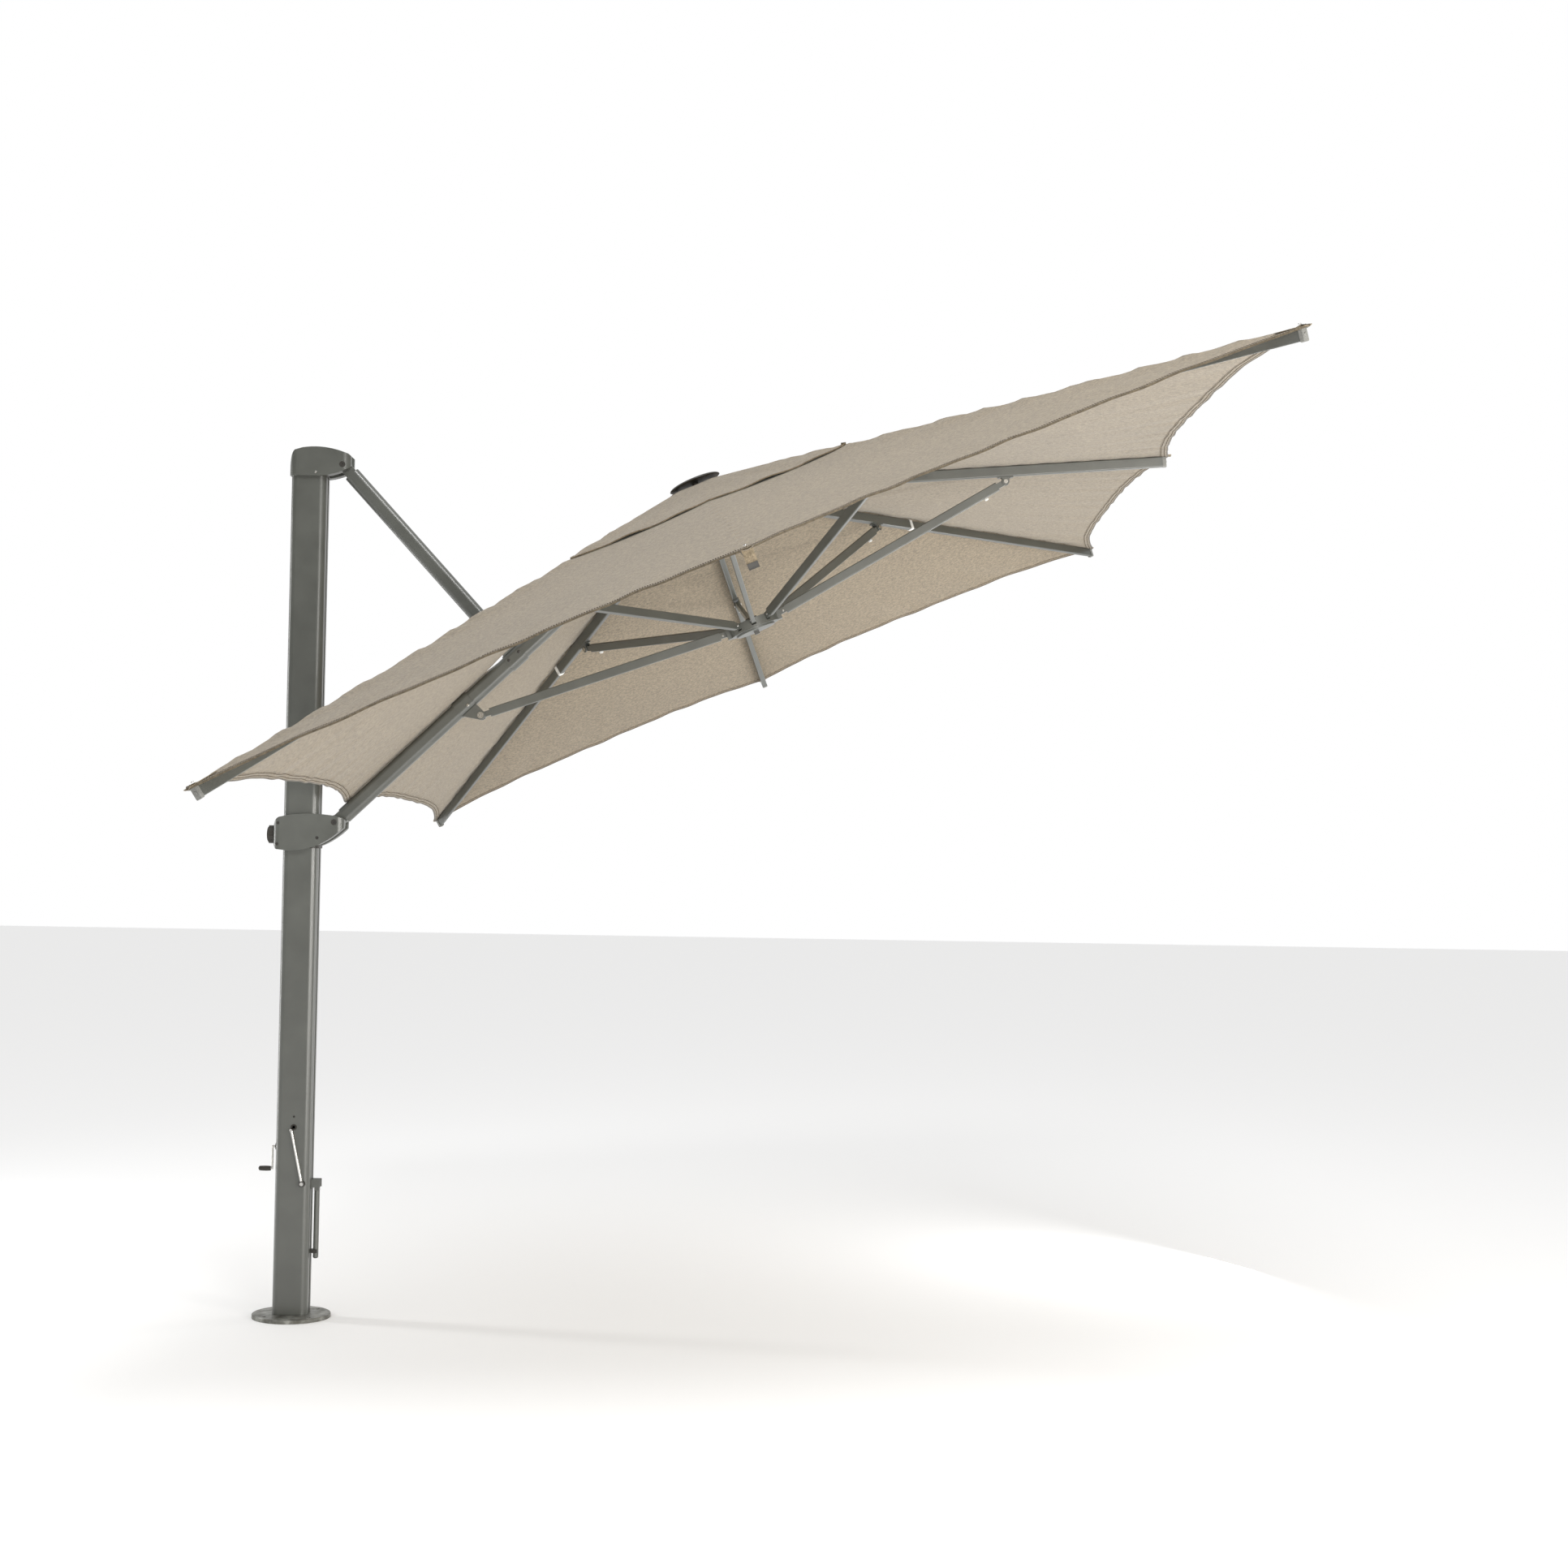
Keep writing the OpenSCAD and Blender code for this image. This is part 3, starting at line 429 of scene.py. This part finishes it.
HEM_PULL = 0.047     # how far the hem is drawn in between two tips, as a share of the reach
TAB = 0.013          # share of the gore beside a corner rib where the hem isn't drawn in
SAG = 0.010          # how far a gore hangs in its middle
WAVE = 0.0022        # small puckers along hems and seams
RIPPLE = 0.0011      # height of the short ripples beside a rib
CREST = 0.0055       # height of the loose waves along the corner seams


def gore(k, v, share, lift=0.0):
    """A point of the cloth between rib lines k and k + 1; v runs from 0 to 1 across the gore."""
    corner_first = (k % 8) in CORNERS
    side = v if corner_first else 1 - v          # 0 at the corner rib, 1 at the short rib
    if side < 0.5:
        steep = 1 - abs(min(1.0, max(0.0, side - TAB) / (0.5 - TAB)) - 1) ** 4.2
    else:
        steep = 1 - abs(2 * side - 1) ** 3.0
    drawn = share * (1 - HEM_PULL * steep * share ** 3)
    a, b = line_point(k, drawn), line_point(k + 1, drawn)
    p = a.lerp(b, v)
    bow = 4 * v * (1 - v)
    p.z -= SAG * bow * math.sin(math.pi * min(1, share * 0.92))
    reach = p.xy.length
    angle = math.atan2(p.y, p.x)
    pucker = math.sin(angle * 61 + reach * 3) * 0.6 + math.sin(angle * 97 + 1.7 + reach * 5) * 0.4
    p.z += WAVE * pucker * share ** 6 * min(1, 12 * v * (1 - v))
    tight = math.exp(-min(v, 1 - v) * (reach + 0.1) / 0.030)
    p.z += RIPPLE * tight * math.sin(reach * 74 + k) * min(1, max(0, (reach - 0.25) * 4))
    # loose cloth stands up in soft waves along the corner seams
    near_corner = (side * (reach + 0.15)) / 0.13
    crest = 0.5 + 0.5 * math.sin(reach * 33 + 0.9 * k + 1.3 * math.sin(reach * 9))
    begins, ends = min(1, max(0, (reach - 0.35) * 3)), min(1, (1.02 - share) * 9)
    p.z += CREST * math.exp(-near_corner ** 2) * crest * begins * ends
    p.z += lift(v, share) if callable(lift) else lift
    return p


def across(k, t):
    """Point parameters for sector k: t runs from -1 (middle of the gore before) to 1 (middle of the next)."""
    return (k, t / 2) if t >= 0 else ((k - 1) % 8, 1 + t / 2)


def sector_grid(u0, u1, rows, columns):
    """Parameters of a sector's points: t across it, closer together over the rib, and shares along the rib."""
    ts = np.linspace(-1, 1, 2 * columns + 1)
    ts = np.sign(ts) * np.abs(ts) ** 1.25
    return ts, u0 + (u1 - u0) * np.linspace(0, 1, rows + 1)


def sheet_object(name, grids, mat):
    """Joins grids of (rows, columns, top points, low points) into closed thin sheets with crisp rims."""
    vertices, faces = [], []
    for rows, columns, top, low in grids:
        start = len(vertices)
        vertices += top + low
        under = start + len(top)
        wide = columns + 1
        for i in range(rows):
            for j in range(columns):
                a, b, c, d = (i * wide + j, i * wide + j + 1, (i + 1) * wide + j + 1, (i + 1) * wide + j)
                faces.append((start + a, start + d, start + c, start + b))
                faces.append((under + a, under + b, under + c, under + d))
        border = list(range(wide)) + [i * wide + columns for i in range(1, rows + 1)]
        border += [rows * wide + j for j in range(columns - 1, -1, -1)] + [i * wide for i in range(rows - 1, 0, -1)]
        for a, b in zip(border, border[1:] + border[:1]):
            faces.append((start + a, start + b, under + b, under + a))
    return add_mesh(name, vertices, faces, mat, 50)


def even_normals(piece, surface_normal):
    """Gives the big faces the surface's own normals, so neighbouring sectors shade as one sheet."""
    mesh = piece.data
    loops = []
    for polygon in mesh.polygons:
        for index in polygon.loop_indices:
            normal = Vector(polygon.normal)
            smooth = surface_normal.get(mesh.loops[index].vertex_index)
            if smooth is not None and abs(smooth.dot(normal)) > 0.8:
                normal = smooth if smooth.dot(normal) > 0 else -smooth
            loops.append(normal)
    mesh.normals_split_custom_set(loops)


SLIT_GAP = 0.0015                               # half the slit's width where the cloth's edges meet
SECTOR_TAN = math.tan(math.radians(26.6))       # a sector's half width over its reach, at the arm
LUG_R, LUG_HALF, LUG_TAPER = 0.79, 0.05, 0.06   # where the slit is wide, how far each way, and its taper


def gap_parameter(k, t, share, lift, widest, sign):
    """Moves t away from the middle of the sector, to the edge of the slit at this share."""
    reach = gore(*across(k, t), share, lift).xy.length
    half = max(SLIT_GAP, widest * (1 - max(0.0, abs(reach - LUG_R) - LUG_HALF) / LUG_TAPER)) / (reach * SECTOR_TAN)
    return math.copysign(half + (1 - half) * abs(t), sign)


def cloth_normal(g, v, share, lift):
    """The cloth's upward normal in the shared frame."""
    other = gore(g, min(1, v + 0.002), share, lift) - gore(g, max(0, v - 0.002), share, lift)
    along = gore(g, v, share + 0.004, lift) - gore(g, v, share - 0.004, lift)
    normal = along.cross(other)
    if normal.z < 0:
        normal.negate()
    normal.normalize()
    return turned(normal)


def sector_sheet(name, k, u0, u1, rows, columns, lift, thick, mat, slit=None):
    """One sector of a cloth, round rib line k. slit = (share, half width) parts the cloth over the line beyond
    share; it is wide only round the lug that carries the mast strut."""
    grids, smooth = [], {}
    ts, shares = sector_grid(u0, u1, rows, columns)
    last, middle = len(ts) - 1, len(ts) // 2
    blocks = [(0, rows, 0, last)]
    if slit:
        first = next(i for i, share in enumerate(shares) if share >= slit[0])
        blocks = [(0, first, 0, last), (first, rows, 0, middle), (first, rows, middle, last)]
    counted = 0
    for r0, r1, c0, c1 in blocks:
        part_top, part_low = [], []
        size = (r1 - r0 + 1) * (c1 - c0 + 1)
        for i in range(r0, r1 + 1):
            for j in range(c0, c1 + 1):
                t, share = float(ts[j]), float(shares[i])
                if slit and r0 > 0:
                    t = gap_parameter(k, t, share, lift, slit[1], -1 if c1 <= middle else 1)
                g, v = across(k, t)
                p = gore(g, v, share, lift)
                index = counted + len(part_top)
                smooth[index] = smooth[index + size] = cloth_normal(g, v, share, lift)
                part_top.append(to_world(*(p + Vector((0, 0, thick)))))
                part_low.append(to_world(*p))
        grids.append((r1 - r0, c1 - c0, part_top, part_low))
        counted += 2 * size
    piece = sheet_object(name, grids, mat)
    even_normals(piece, smooth)
    return piece


def tangent(k):
    """The direction across rib line k."""
    a = math.radians(LINES[k][1])
    return EY * math.cos(a) - EX * math.sin(a)


def fold_up(piece, k):
    """Gives the piece a mesh of its own."""
    _name, azimuth, reach, _drop, _over = LINES[k]
    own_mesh(piece)


VENT_HOLE = 0.17
SLIT = (0.446, 0.028)
ROWS, COLUMNS = 66, 22
canopy_parts = []
for k, (rib_name, *_more) in enumerate(LINES):
    part = sector_sheet(f"canopy_{rib_name}", k, VENT_HOLE, 1.0, ROWS, COLUMNS, 0.0, CLOTH_T, cloth,
                        SLIT if rib_name == "arm" else None)
    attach(part, BODY_OF[k])
    canopy_parts.append(part)


# ---- hems, seams and stitching ----

def strip(name, points, normals, outward, width, thick, mat, offset):
    """A flat tape along points, width towards -outward, lying thick on both sides of the cloth."""
    rows = len(points) - 1
    vertices, faces = [], []
    for p, n, o in zip(points, normals, outward):
        for across_share, up in ((0, 1), (1, 1), (1, -1), (0, -1)):
            base = p + o * (offset - width * across_share)
            vertices.append(base + n * (thick * up))
    for i in range(rows):
        for j in range(4):
            n = (j + 1) % 4
            faces.append((4 * i + j, 4 * i + n, 4 * i + 4 + n, 4 * i + 4 + j))
    faces.append((3, 2, 1, 0))
    faces.append(tuple(4 * rows + j for j in range(4)))
    return add_mesh(name, vertices, faces, mat, 50)


def hem_frame(k, ts, share, lift, thick):
    """Points, normals and outward directions along a cloth's edge for sector k."""
    points, normals, outward = [], [], []
    for t in ts:
        g, v = across(k, float(t))
        p = gore(g, v, share, lift)
        inner = gore(g, v, share - 0.01, lift)
        a = gore(g, max(0, v - 0.01), share, lift)
        b = gore(g, min(1, v + 0.01), share, lift)
        out = (p - inner).normalized()
        along = (b - a).normalized()
        normal = out.cross(along)
        if normal.z < 0:
            normal.negate()
        out = normal.cross(along)
        if out.dot(p - inner) < 0:
            out.negate()
        points.append(to_world(p.x, p.y, p.z + thick / 2))
        normals.append(turned(normal).normalized())
        outward.append(turned(out).normalized())
    return points, normals, outward


def edge_parameters(k, parted, count=96):
    """Even steps along sector k's hem, as one run or as two runs beside the slit."""
    if not parted:
        return [np.linspace(-1, 1, count + 1)]
    half = SLIT_GAP / (LINES[k][2] * SECTOR_TAN)
    return [np.linspace(-1, -half, count // 2 + 1), np.linspace(half, 1, count // 2 + 1)]


def stitch_rows(name, points, normals, outward, offsets, body):
    """Rows of raised stitches along points, on both faces of the cloth."""
    vertices, faces = [], []
    long, gap, half_w, half_t, rise = 0.0045, 0.0025, 0.0009, 0.0006, 0.0025
    for offset in offsets:
        line = [p + o * offset for p, o in zip(points, outward)]
        lengths = [0.0]
        for a, b in zip(line, line[1:]):
            lengths.append(lengths[-1] + (b - a).length)
        place_at, index = 0.002, 0
        while place_at + long < lengths[-1]:
            while lengths[index + 1] < place_at:
                index += 1
            share = (place_at - lengths[index]) / (lengths[index + 1] - lengths[index])
            here = line[index].lerp(line[index + 1], share)
            along = (line[index + 1] - line[index]).normalized()
            normal, out = normals[index], outward[index]
            for face_side in (1, -1):
                mid = here + normal * (face_side * rise)
                start = len(vertices)
                for end, tuck in ((0, 0.4), (0.25, 1), (0.75, 1), (1, 0.4)):
                    centre = mid + along * (long * end) + normal * (face_side * half_t * (tuck - 1))
                    for dx, dz in ((-1, -1), (1, -1), (1, 1), (-1, 1)):
                        vertices.append(centre + out * (dx * half_w) + normal * (dz * half_t * tuck))
                for ring in range(3):
                    for j in range(4):
                        n = (j + 1) % 4
                        a = start + 4 * ring
                        faces.append((a + j, a + n, a + 4 + n, a + 4 + j))
                faces.append((start + 3, start + 2, start + 1, start))
                faces.append((start + 12, start + 13, start + 14, start + 15))
            place_at += long + gap
    return add_mesh(name, vertices, faces, thread, 60, body)


hem_parts = []
for k, (rib_name, *_more) in enumerate(LINES):
    runs = edge_parameters(k, rib_name == "arm")
    pieces_here = []
    for n, ts in enumerate(runs):
        points, normals, outward = hem_frame(k, ts, 1.0, 0.0, CLOTH_T)
        tag = rib_name if len(runs) == 1 else f"{rib_name}_{n}"
        band = strip(f"hem_{tag}", points, normals, outward, 0.024, 0.0021, hem_cloth, 0.001)
        # a thin tape over the cloth's edge, darkened as painted shade for the crease along the hem
        shaded_binding = strip(f"binding_{tag}", points, normals, outward, 0.0045, 0.0027, hem_crease_shade, 0.0025)
        for piece in (band, shaded_binding):
            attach(piece, BODY_OF[k])
        sewn = stitch_rows(f"hem_stitch_{tag}", points, normals, outward, (-0.020, -0.009), BODY_OF[k])
        pieces_here += [band, shaded_binding, sewn]
    hem_parts.append(pieces_here)


# ---- vent flap ----

VENT_SHARE = 0.29


def vent_lift(v, share):
    """Height of the vent flap over the cloth below: its free edge settles low and flutters between the ribs."""
    free = (share / VENT_SHARE) ** 2
    ripple = math.sin(math.pi * v) * (0.0035 + 0.003 * math.sin(5 * math.pi * v + 1.3))
    return 0.012 - 0.0075 * free + ripple * free


vent_parts = []
for k, (rib_name, *_more) in enumerate(LINES):
    part = sector_sheet(f"vent_flap_{rib_name}", k, 0.004, VENT_SHARE, 24, 14, vent_lift, CLOTH_T, cloth)
    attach(part, BODY_OF[k])
    points, normals, outward = hem_frame(k, np.linspace(-1, 1, 41), VENT_SHARE, vent_lift, CLOTH_T)
    band = strip(f"vent_hem_{rib_name}", points, normals, outward, 0.016, 0.0019, hem_cloth, 0.001)
    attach(band, BODY_OF[k])
    vent_parts.append((part, band))


for k, part in enumerate(canopy_parts):
    fold_up(part, k)
    for piece in hem_parts[k] + list(vent_parts[k]):
        fold_up(piece, k)
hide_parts("canopy")
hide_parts("vent_flap")


for k, part in enumerate(canopy_parts):
    flap, band = vent_parts[k]


# ---- rib tips, collars, buttons ----

RIB_CAP = 0.0121                # length of the moulded cap in a rib's end
COLLAR_R = 1.1                  # a clevis node's faces beyond this distance from the hinge are the collar's
PIN_R, PIN_SIDE_R = 0.0072, 0.0065   # head of a strut's pivot pin, and where its rim begins
PIN_BORE_R = 0.00405


def rib_frame(k):
    """Hinge point, direction outwards along the rib, the rib's own upward direction and its length."""
    _name, azimuth, reach, drop, _over = LINES[k]
    a = math.radians(azimuth)
    slope = math.atan2(drop - HUB_DIP, reach - HUB_R)
    radial = EX * math.cos(a) + EY * math.sin(a)
    start = APEX + radial * HUB_R - EZ * HUB_DIP
    along = radial * math.cos(slope) - EZ * math.sin(slope)
    upward = radial * math.sin(slope) + EZ * math.cos(slope)
    return start, along, upward, math.hypot(reach - HUB_R, drop - HUB_DIP)


def tip_pocket(k, rib_name, tip, along, sideways, upward):
    """The sewn pocket that takes a rib's end: a short curled tape, narrower towards the tip."""
    wide = 0.022 if k in CORNERS else 0.026
    rows = 8
    vertices, faces = [], []
    for i in range(rows + 1):
        p = tip + along * (TIP_OVER * 0.8 - 0.012 * i) + upward * (OVER_RIB - 0.0005)
        grown = min(1, i / 3)
        for s in (-1, -0.6, 0, 0.6, 1):
            curl = -0.004 * (1 - grown) * (1 - s * s)
            for depth in (0.0012, 0.0032):
                vertices.append(p + sideways * (wide * (0.55 + 0.45 * grown) * s) + upward * (curl - depth))
    for i in range(rows):
        for j in range(4):
            a = (i * 5 + j) * 2
            b, c, d = a + 2, a + 12, a + 10
            faces.append((a, b, c, d))
            faces.append((a + 1, d + 1, c + 1, b + 1))
        a, d = i * 10, i * 10 + 10
        faces.append((a, d, d + 1, a + 1))
        faces.append((a + 8, a + 9, d + 9, d + 8))
    last = rows * 10
    for j in range(4):
        faces.append((2 * j, 2 * j + 1, 2 * j + 3, 2 * j + 2))
        faces.append((last + 2 * j, last + 2 * j + 2, last + 2 * j + 3, last + 2 * j + 1))
    add_mesh(f"tip_pocket_{rib_name}", vertices, faces, hem_cloth, 50, BODY_OF[k])


def on_pin(points, pivot, side):
    """True for a face of the pin through pivot along side."""
    radii = [((p - pivot) - side * (p - pivot).dot(side)).length for p in points]
    return max(radii) < PIN_R and (min(radii) <= PIN_BORE_R or max(radii) > PIN_SIDE_R)


for k, (rib_name, *_more) in enumerate(LINES):
    if rib_name == "arm":
        continue
    start, along, upward, length = rib_frame(k)
    side = along.cross(upward)
    tip = start + along * length
    # cloth screw through the pocket, and the light plug in the rib's end
    at = start + along * (length - 0.010) + upward * (OVER_RIB + 0.004)
    socket_screw(f"tip_screw_{rib_name}", at, upward, BODY_OF[k], 0.0048, along, steel)
    lathe(f"tip_plug_{rib_name}", [(0.0055, 0), (0.0055, 0.002), (0.0045, 0.003)],
          basis(tip - along * 0.001, along), tip_plastic, BODY_OF[k], 24)
    tip_pocket(k, rib_name, tip, along, upward.cross(along), upward)
    paint(f"rib_{rib_name}", tip_plastic,
          lambda points: all((p - start).dot(along) > length - RIB_CAP for p in points))
    if k in CORNERS:
        paint(f"clevis_{rib_name}", white_plastic, lambda points: all((p - start).length > COLLAR_R for p in points))
    pivot = Vector(joints[f"stay_{rib_name}_pivot"]["pos_m"])
    paint(f"clevis_{rib_name}", steel, lambda points: on_pin(points, pivot, side))

# black ring round the winch crank's shaft
shaft = Vector(joints["winch_turn"]["pos_m"])
paint("winch_crank", black_steel,
      lambda points: all(math.hypot(p.x - shaft.x, p.z - shaft.z) < 0.0102 for p in points))

# turned boss in the middle of the lower hub, over its bolt
lathe("hub_boss", [(0.026, -0.0115), (0.026, 0.010), (0.0235, 0.0125), (0.021, 0.013), (0.021, 0.021),
                   (0.0195, 0.0225), (0.009, 0.0225)],
      basis(APEX - EZ * LOW_HUB_DROP, EZ, EX), coat, "low_hub", 48)

# the pocket closes over the near rib's end, with a small clip below it
start, along, upward, length = rib_frame(NEAR)
tip = start + along * length
side = along.cross(upward)
block("end_pocket_near", tip + along * 0.004 + upward * 0.003, (along, side, upward),
      (0.0045, 0.027, 0.038), hem_cloth, BODY_OF[NEAR], 0.0015)
block("cloth_clip_near", tip - along * 0.002 - upward * 0.025, (along, side, upward),
      (0.018, 0.024, 0.013), black_plastic, BODY_OF[NEAR], 0.002)

# a small bright screw on each side of the head
for s, label in ((-1, "near"), (1, "far")):
    socket_screw(f"head_screw_{label}", (0.026, s * 0.053, 2.829), (0, s, 0), "mast", 0.0045, None, steel)

# screws in the two sleeves on the arm: black ones on the outer, a plain one on the inner
arm_along = (Vector(ARM_TOP) - Vector(ARM_FOOT)).normalized()
arm_up = Vector((-arm_along.z, 0, arm_along.x))
for s, label in ((-1, "near"), (1, "far")):
    for n, (x, z, mat) in enumerate(((0.839, 0.004, black_steel), (0.795, 0.005, black_steel),
                                     (0.592, -0.012, steel))):
        at = Vector(ARM_FOOT) + arm_along * x + arm_up * z + Vector((0, s * 0.0249, 0))
        socket_screw(f"sleeve_screw_{label}_{n}", at, (0, s, 0), "arm", 0.0055, None, mat)

# white stop button under each rib's strut, close to its pivot, and rivets at the strut's inner end
BUTTON = [(0.0055, -0.001), (0.0055, 0.0022), (0.0075, 0.0027), (0.0078, 0.0055), (0.0058, 0.0080), (0.002, 0.0088)]
RIVET = [(0.0042, -0.0005), (0.0042, 0.0008), (0.0028, 0.0018)]
for k, (rib_name, azimuth, *_more) in enumerate(LINES):
    pivot = Vector(joints[f"stay_{rib_name}_pivot"]["pos_m"])
    a = math.radians(azimuth)
    radial = EX * math.cos(a) + EY * math.sin(a)
    inner_r = 0.088 if rib_name in ("front", "arm") else HUB_R
    inner = APEX + radial * inner_r - EZ * LOW_HUB_DROP
    along = (inner - pivot).normalized()
    side = tangent(k)
    below = along.cross(side)
    if below.dot(EZ) > 0:
        below.negate()
    body = f"stay_{rib_name}_body"
    if rib_name != "arm":
        lathe(f"stop_button_{rib_name}", BUTTON, basis(pivot + along * 0.085 + below * 0.015, below),
              white_plastic, body, 24)
    for s, label in ((-1, "n"), (1, "p")):
        lathe(f"strut_rivet_{rib_name}_{label}", RIVET,
              basis(inner + along * -0.022 + side * (s * 0.0077), side * s), steel, body, 20)


# ---- stage and light ----

def add_stage():
    """A plain pale floor that glows a little, so that it stays as light as the background."""
    floor_mat, _tree, shader = material("floor", (0.90, 0.90, 0.90), 0.9)
    shader.inputs["Specular IOR Level"].default_value = 0.0
    shader.inputs["Emission Color"].default_value = (1, 1, 1, 1)
    shader.inputs["Emission Strength"].default_value = 0.12
    vertices = [(-40, -40, 0), (40, -40, 0), (40, 40, 0), (-40, 40, 0)]
    mesh = bpy.data.meshes.new("floor")
    mesh.from_pydata(vertices, [], [(0, 1, 2, 3)])
    mesh.materials.append(floor_mat)
    floor = bpy.data.objects.new("floor", mesh)
    scene.collection.objects.link(floor)


def area_light(name, place_at, target, size, power, colour=(1, 1, 1)):
    """A rectangular light at place_at that faces target; size in metres, power in watts."""
    data = bpy.data.lights.new(name, "AREA")
    data.shape = "RECTANGLE"
    data.size, data.size_y = size
    data.energy = power
    data.color = colour
    light = bpy.data.objects.new(name, data)
    light.matrix_world = basis(place_at, Vector(place_at) - Vector(target), (1, 0, 0))
    scene.collection.objects.link(light)


def add_world():
    """A studio that is white behind the parasol and overhead, mid grey in front and dark to the left."""
    world = bpy.data.worlds.new("studio")
    world.use_nodes = True
    tree = world.node_tree
    direction = tree.nodes.new("ShaderNodeTexCoord").outputs["Generated"]
    parts = tree.nodes.new("ShaderNodeSeparateXYZ")
    tree.links.new(direction, parts.inputs[0])

    def share(output, low, high):
        node = tree.nodes.new("ShaderNodeMapRange")
        node.interpolation_type = "SMOOTHSTEP"
        node.inputs["From Min"].default_value = low
        node.inputs["From Max"].default_value = high
        tree.links.new(output, node.inputs["Value"])
        return node.outputs["Result"]

    tint = mix(tree, share(parts.outputs["X"], -0.55, 0.75), (0.06, 0.056, 0.05), (0.42, 0.41, 0.39))
    tint = mix(tree, share(parts.outputs["Z"], 0.25, 0.75), tint, (0.92, 0.92, 0.92))
    tint = mix(tree, share(parts.outputs["Y"], 0.62, 0.86), tint, (1.0, 1.0, 1.0))
    background = tree.nodes["Background"]
    tree.links.new(tint, background.inputs["Color"])
    background.inputs["Strength"].default_value = 1.0
    scene.world = world


add_stage()
add_world()
# low key from the right front, which throws the struts' shadows up and to the left on the cloth
area_light("key", (4.8, -3.8, 1.5), (1.7, 0, 2.7), (0.5, 0.5), 75, (1.0, 0.97, 0.93))
# large soft box beside the camera, which the satin faces on the right pick up
area_light("soft_box", (4.3, -8.6, 1.75), (2.0, 0, 2.9), (3.2, 3.2), 330, (1.0, 0.98, 0.94))
area_light("top", (2.2, -3.4, 6.2), (1.6, 0, 2.8), (2.0, 1.5), 125)
# narrow boxes behind on both sides, seen as the bright lines on the mast's rounded corners
area_light("left_rim", (-3.6, 0.9, 1.6), (0, 0, 1.5), (0.35, 3.4), 70)
area_light("right_rim", (3.4, 1.6, 0.9), (0, 0, 1.4), (0.3, 2.4), 26)
scene.view_settings.view_transform = "Standard"
scene.view_settings.look = "None"
scene.view_settings.exposure = 0.0
scene.view_settings.gamma = 1.0
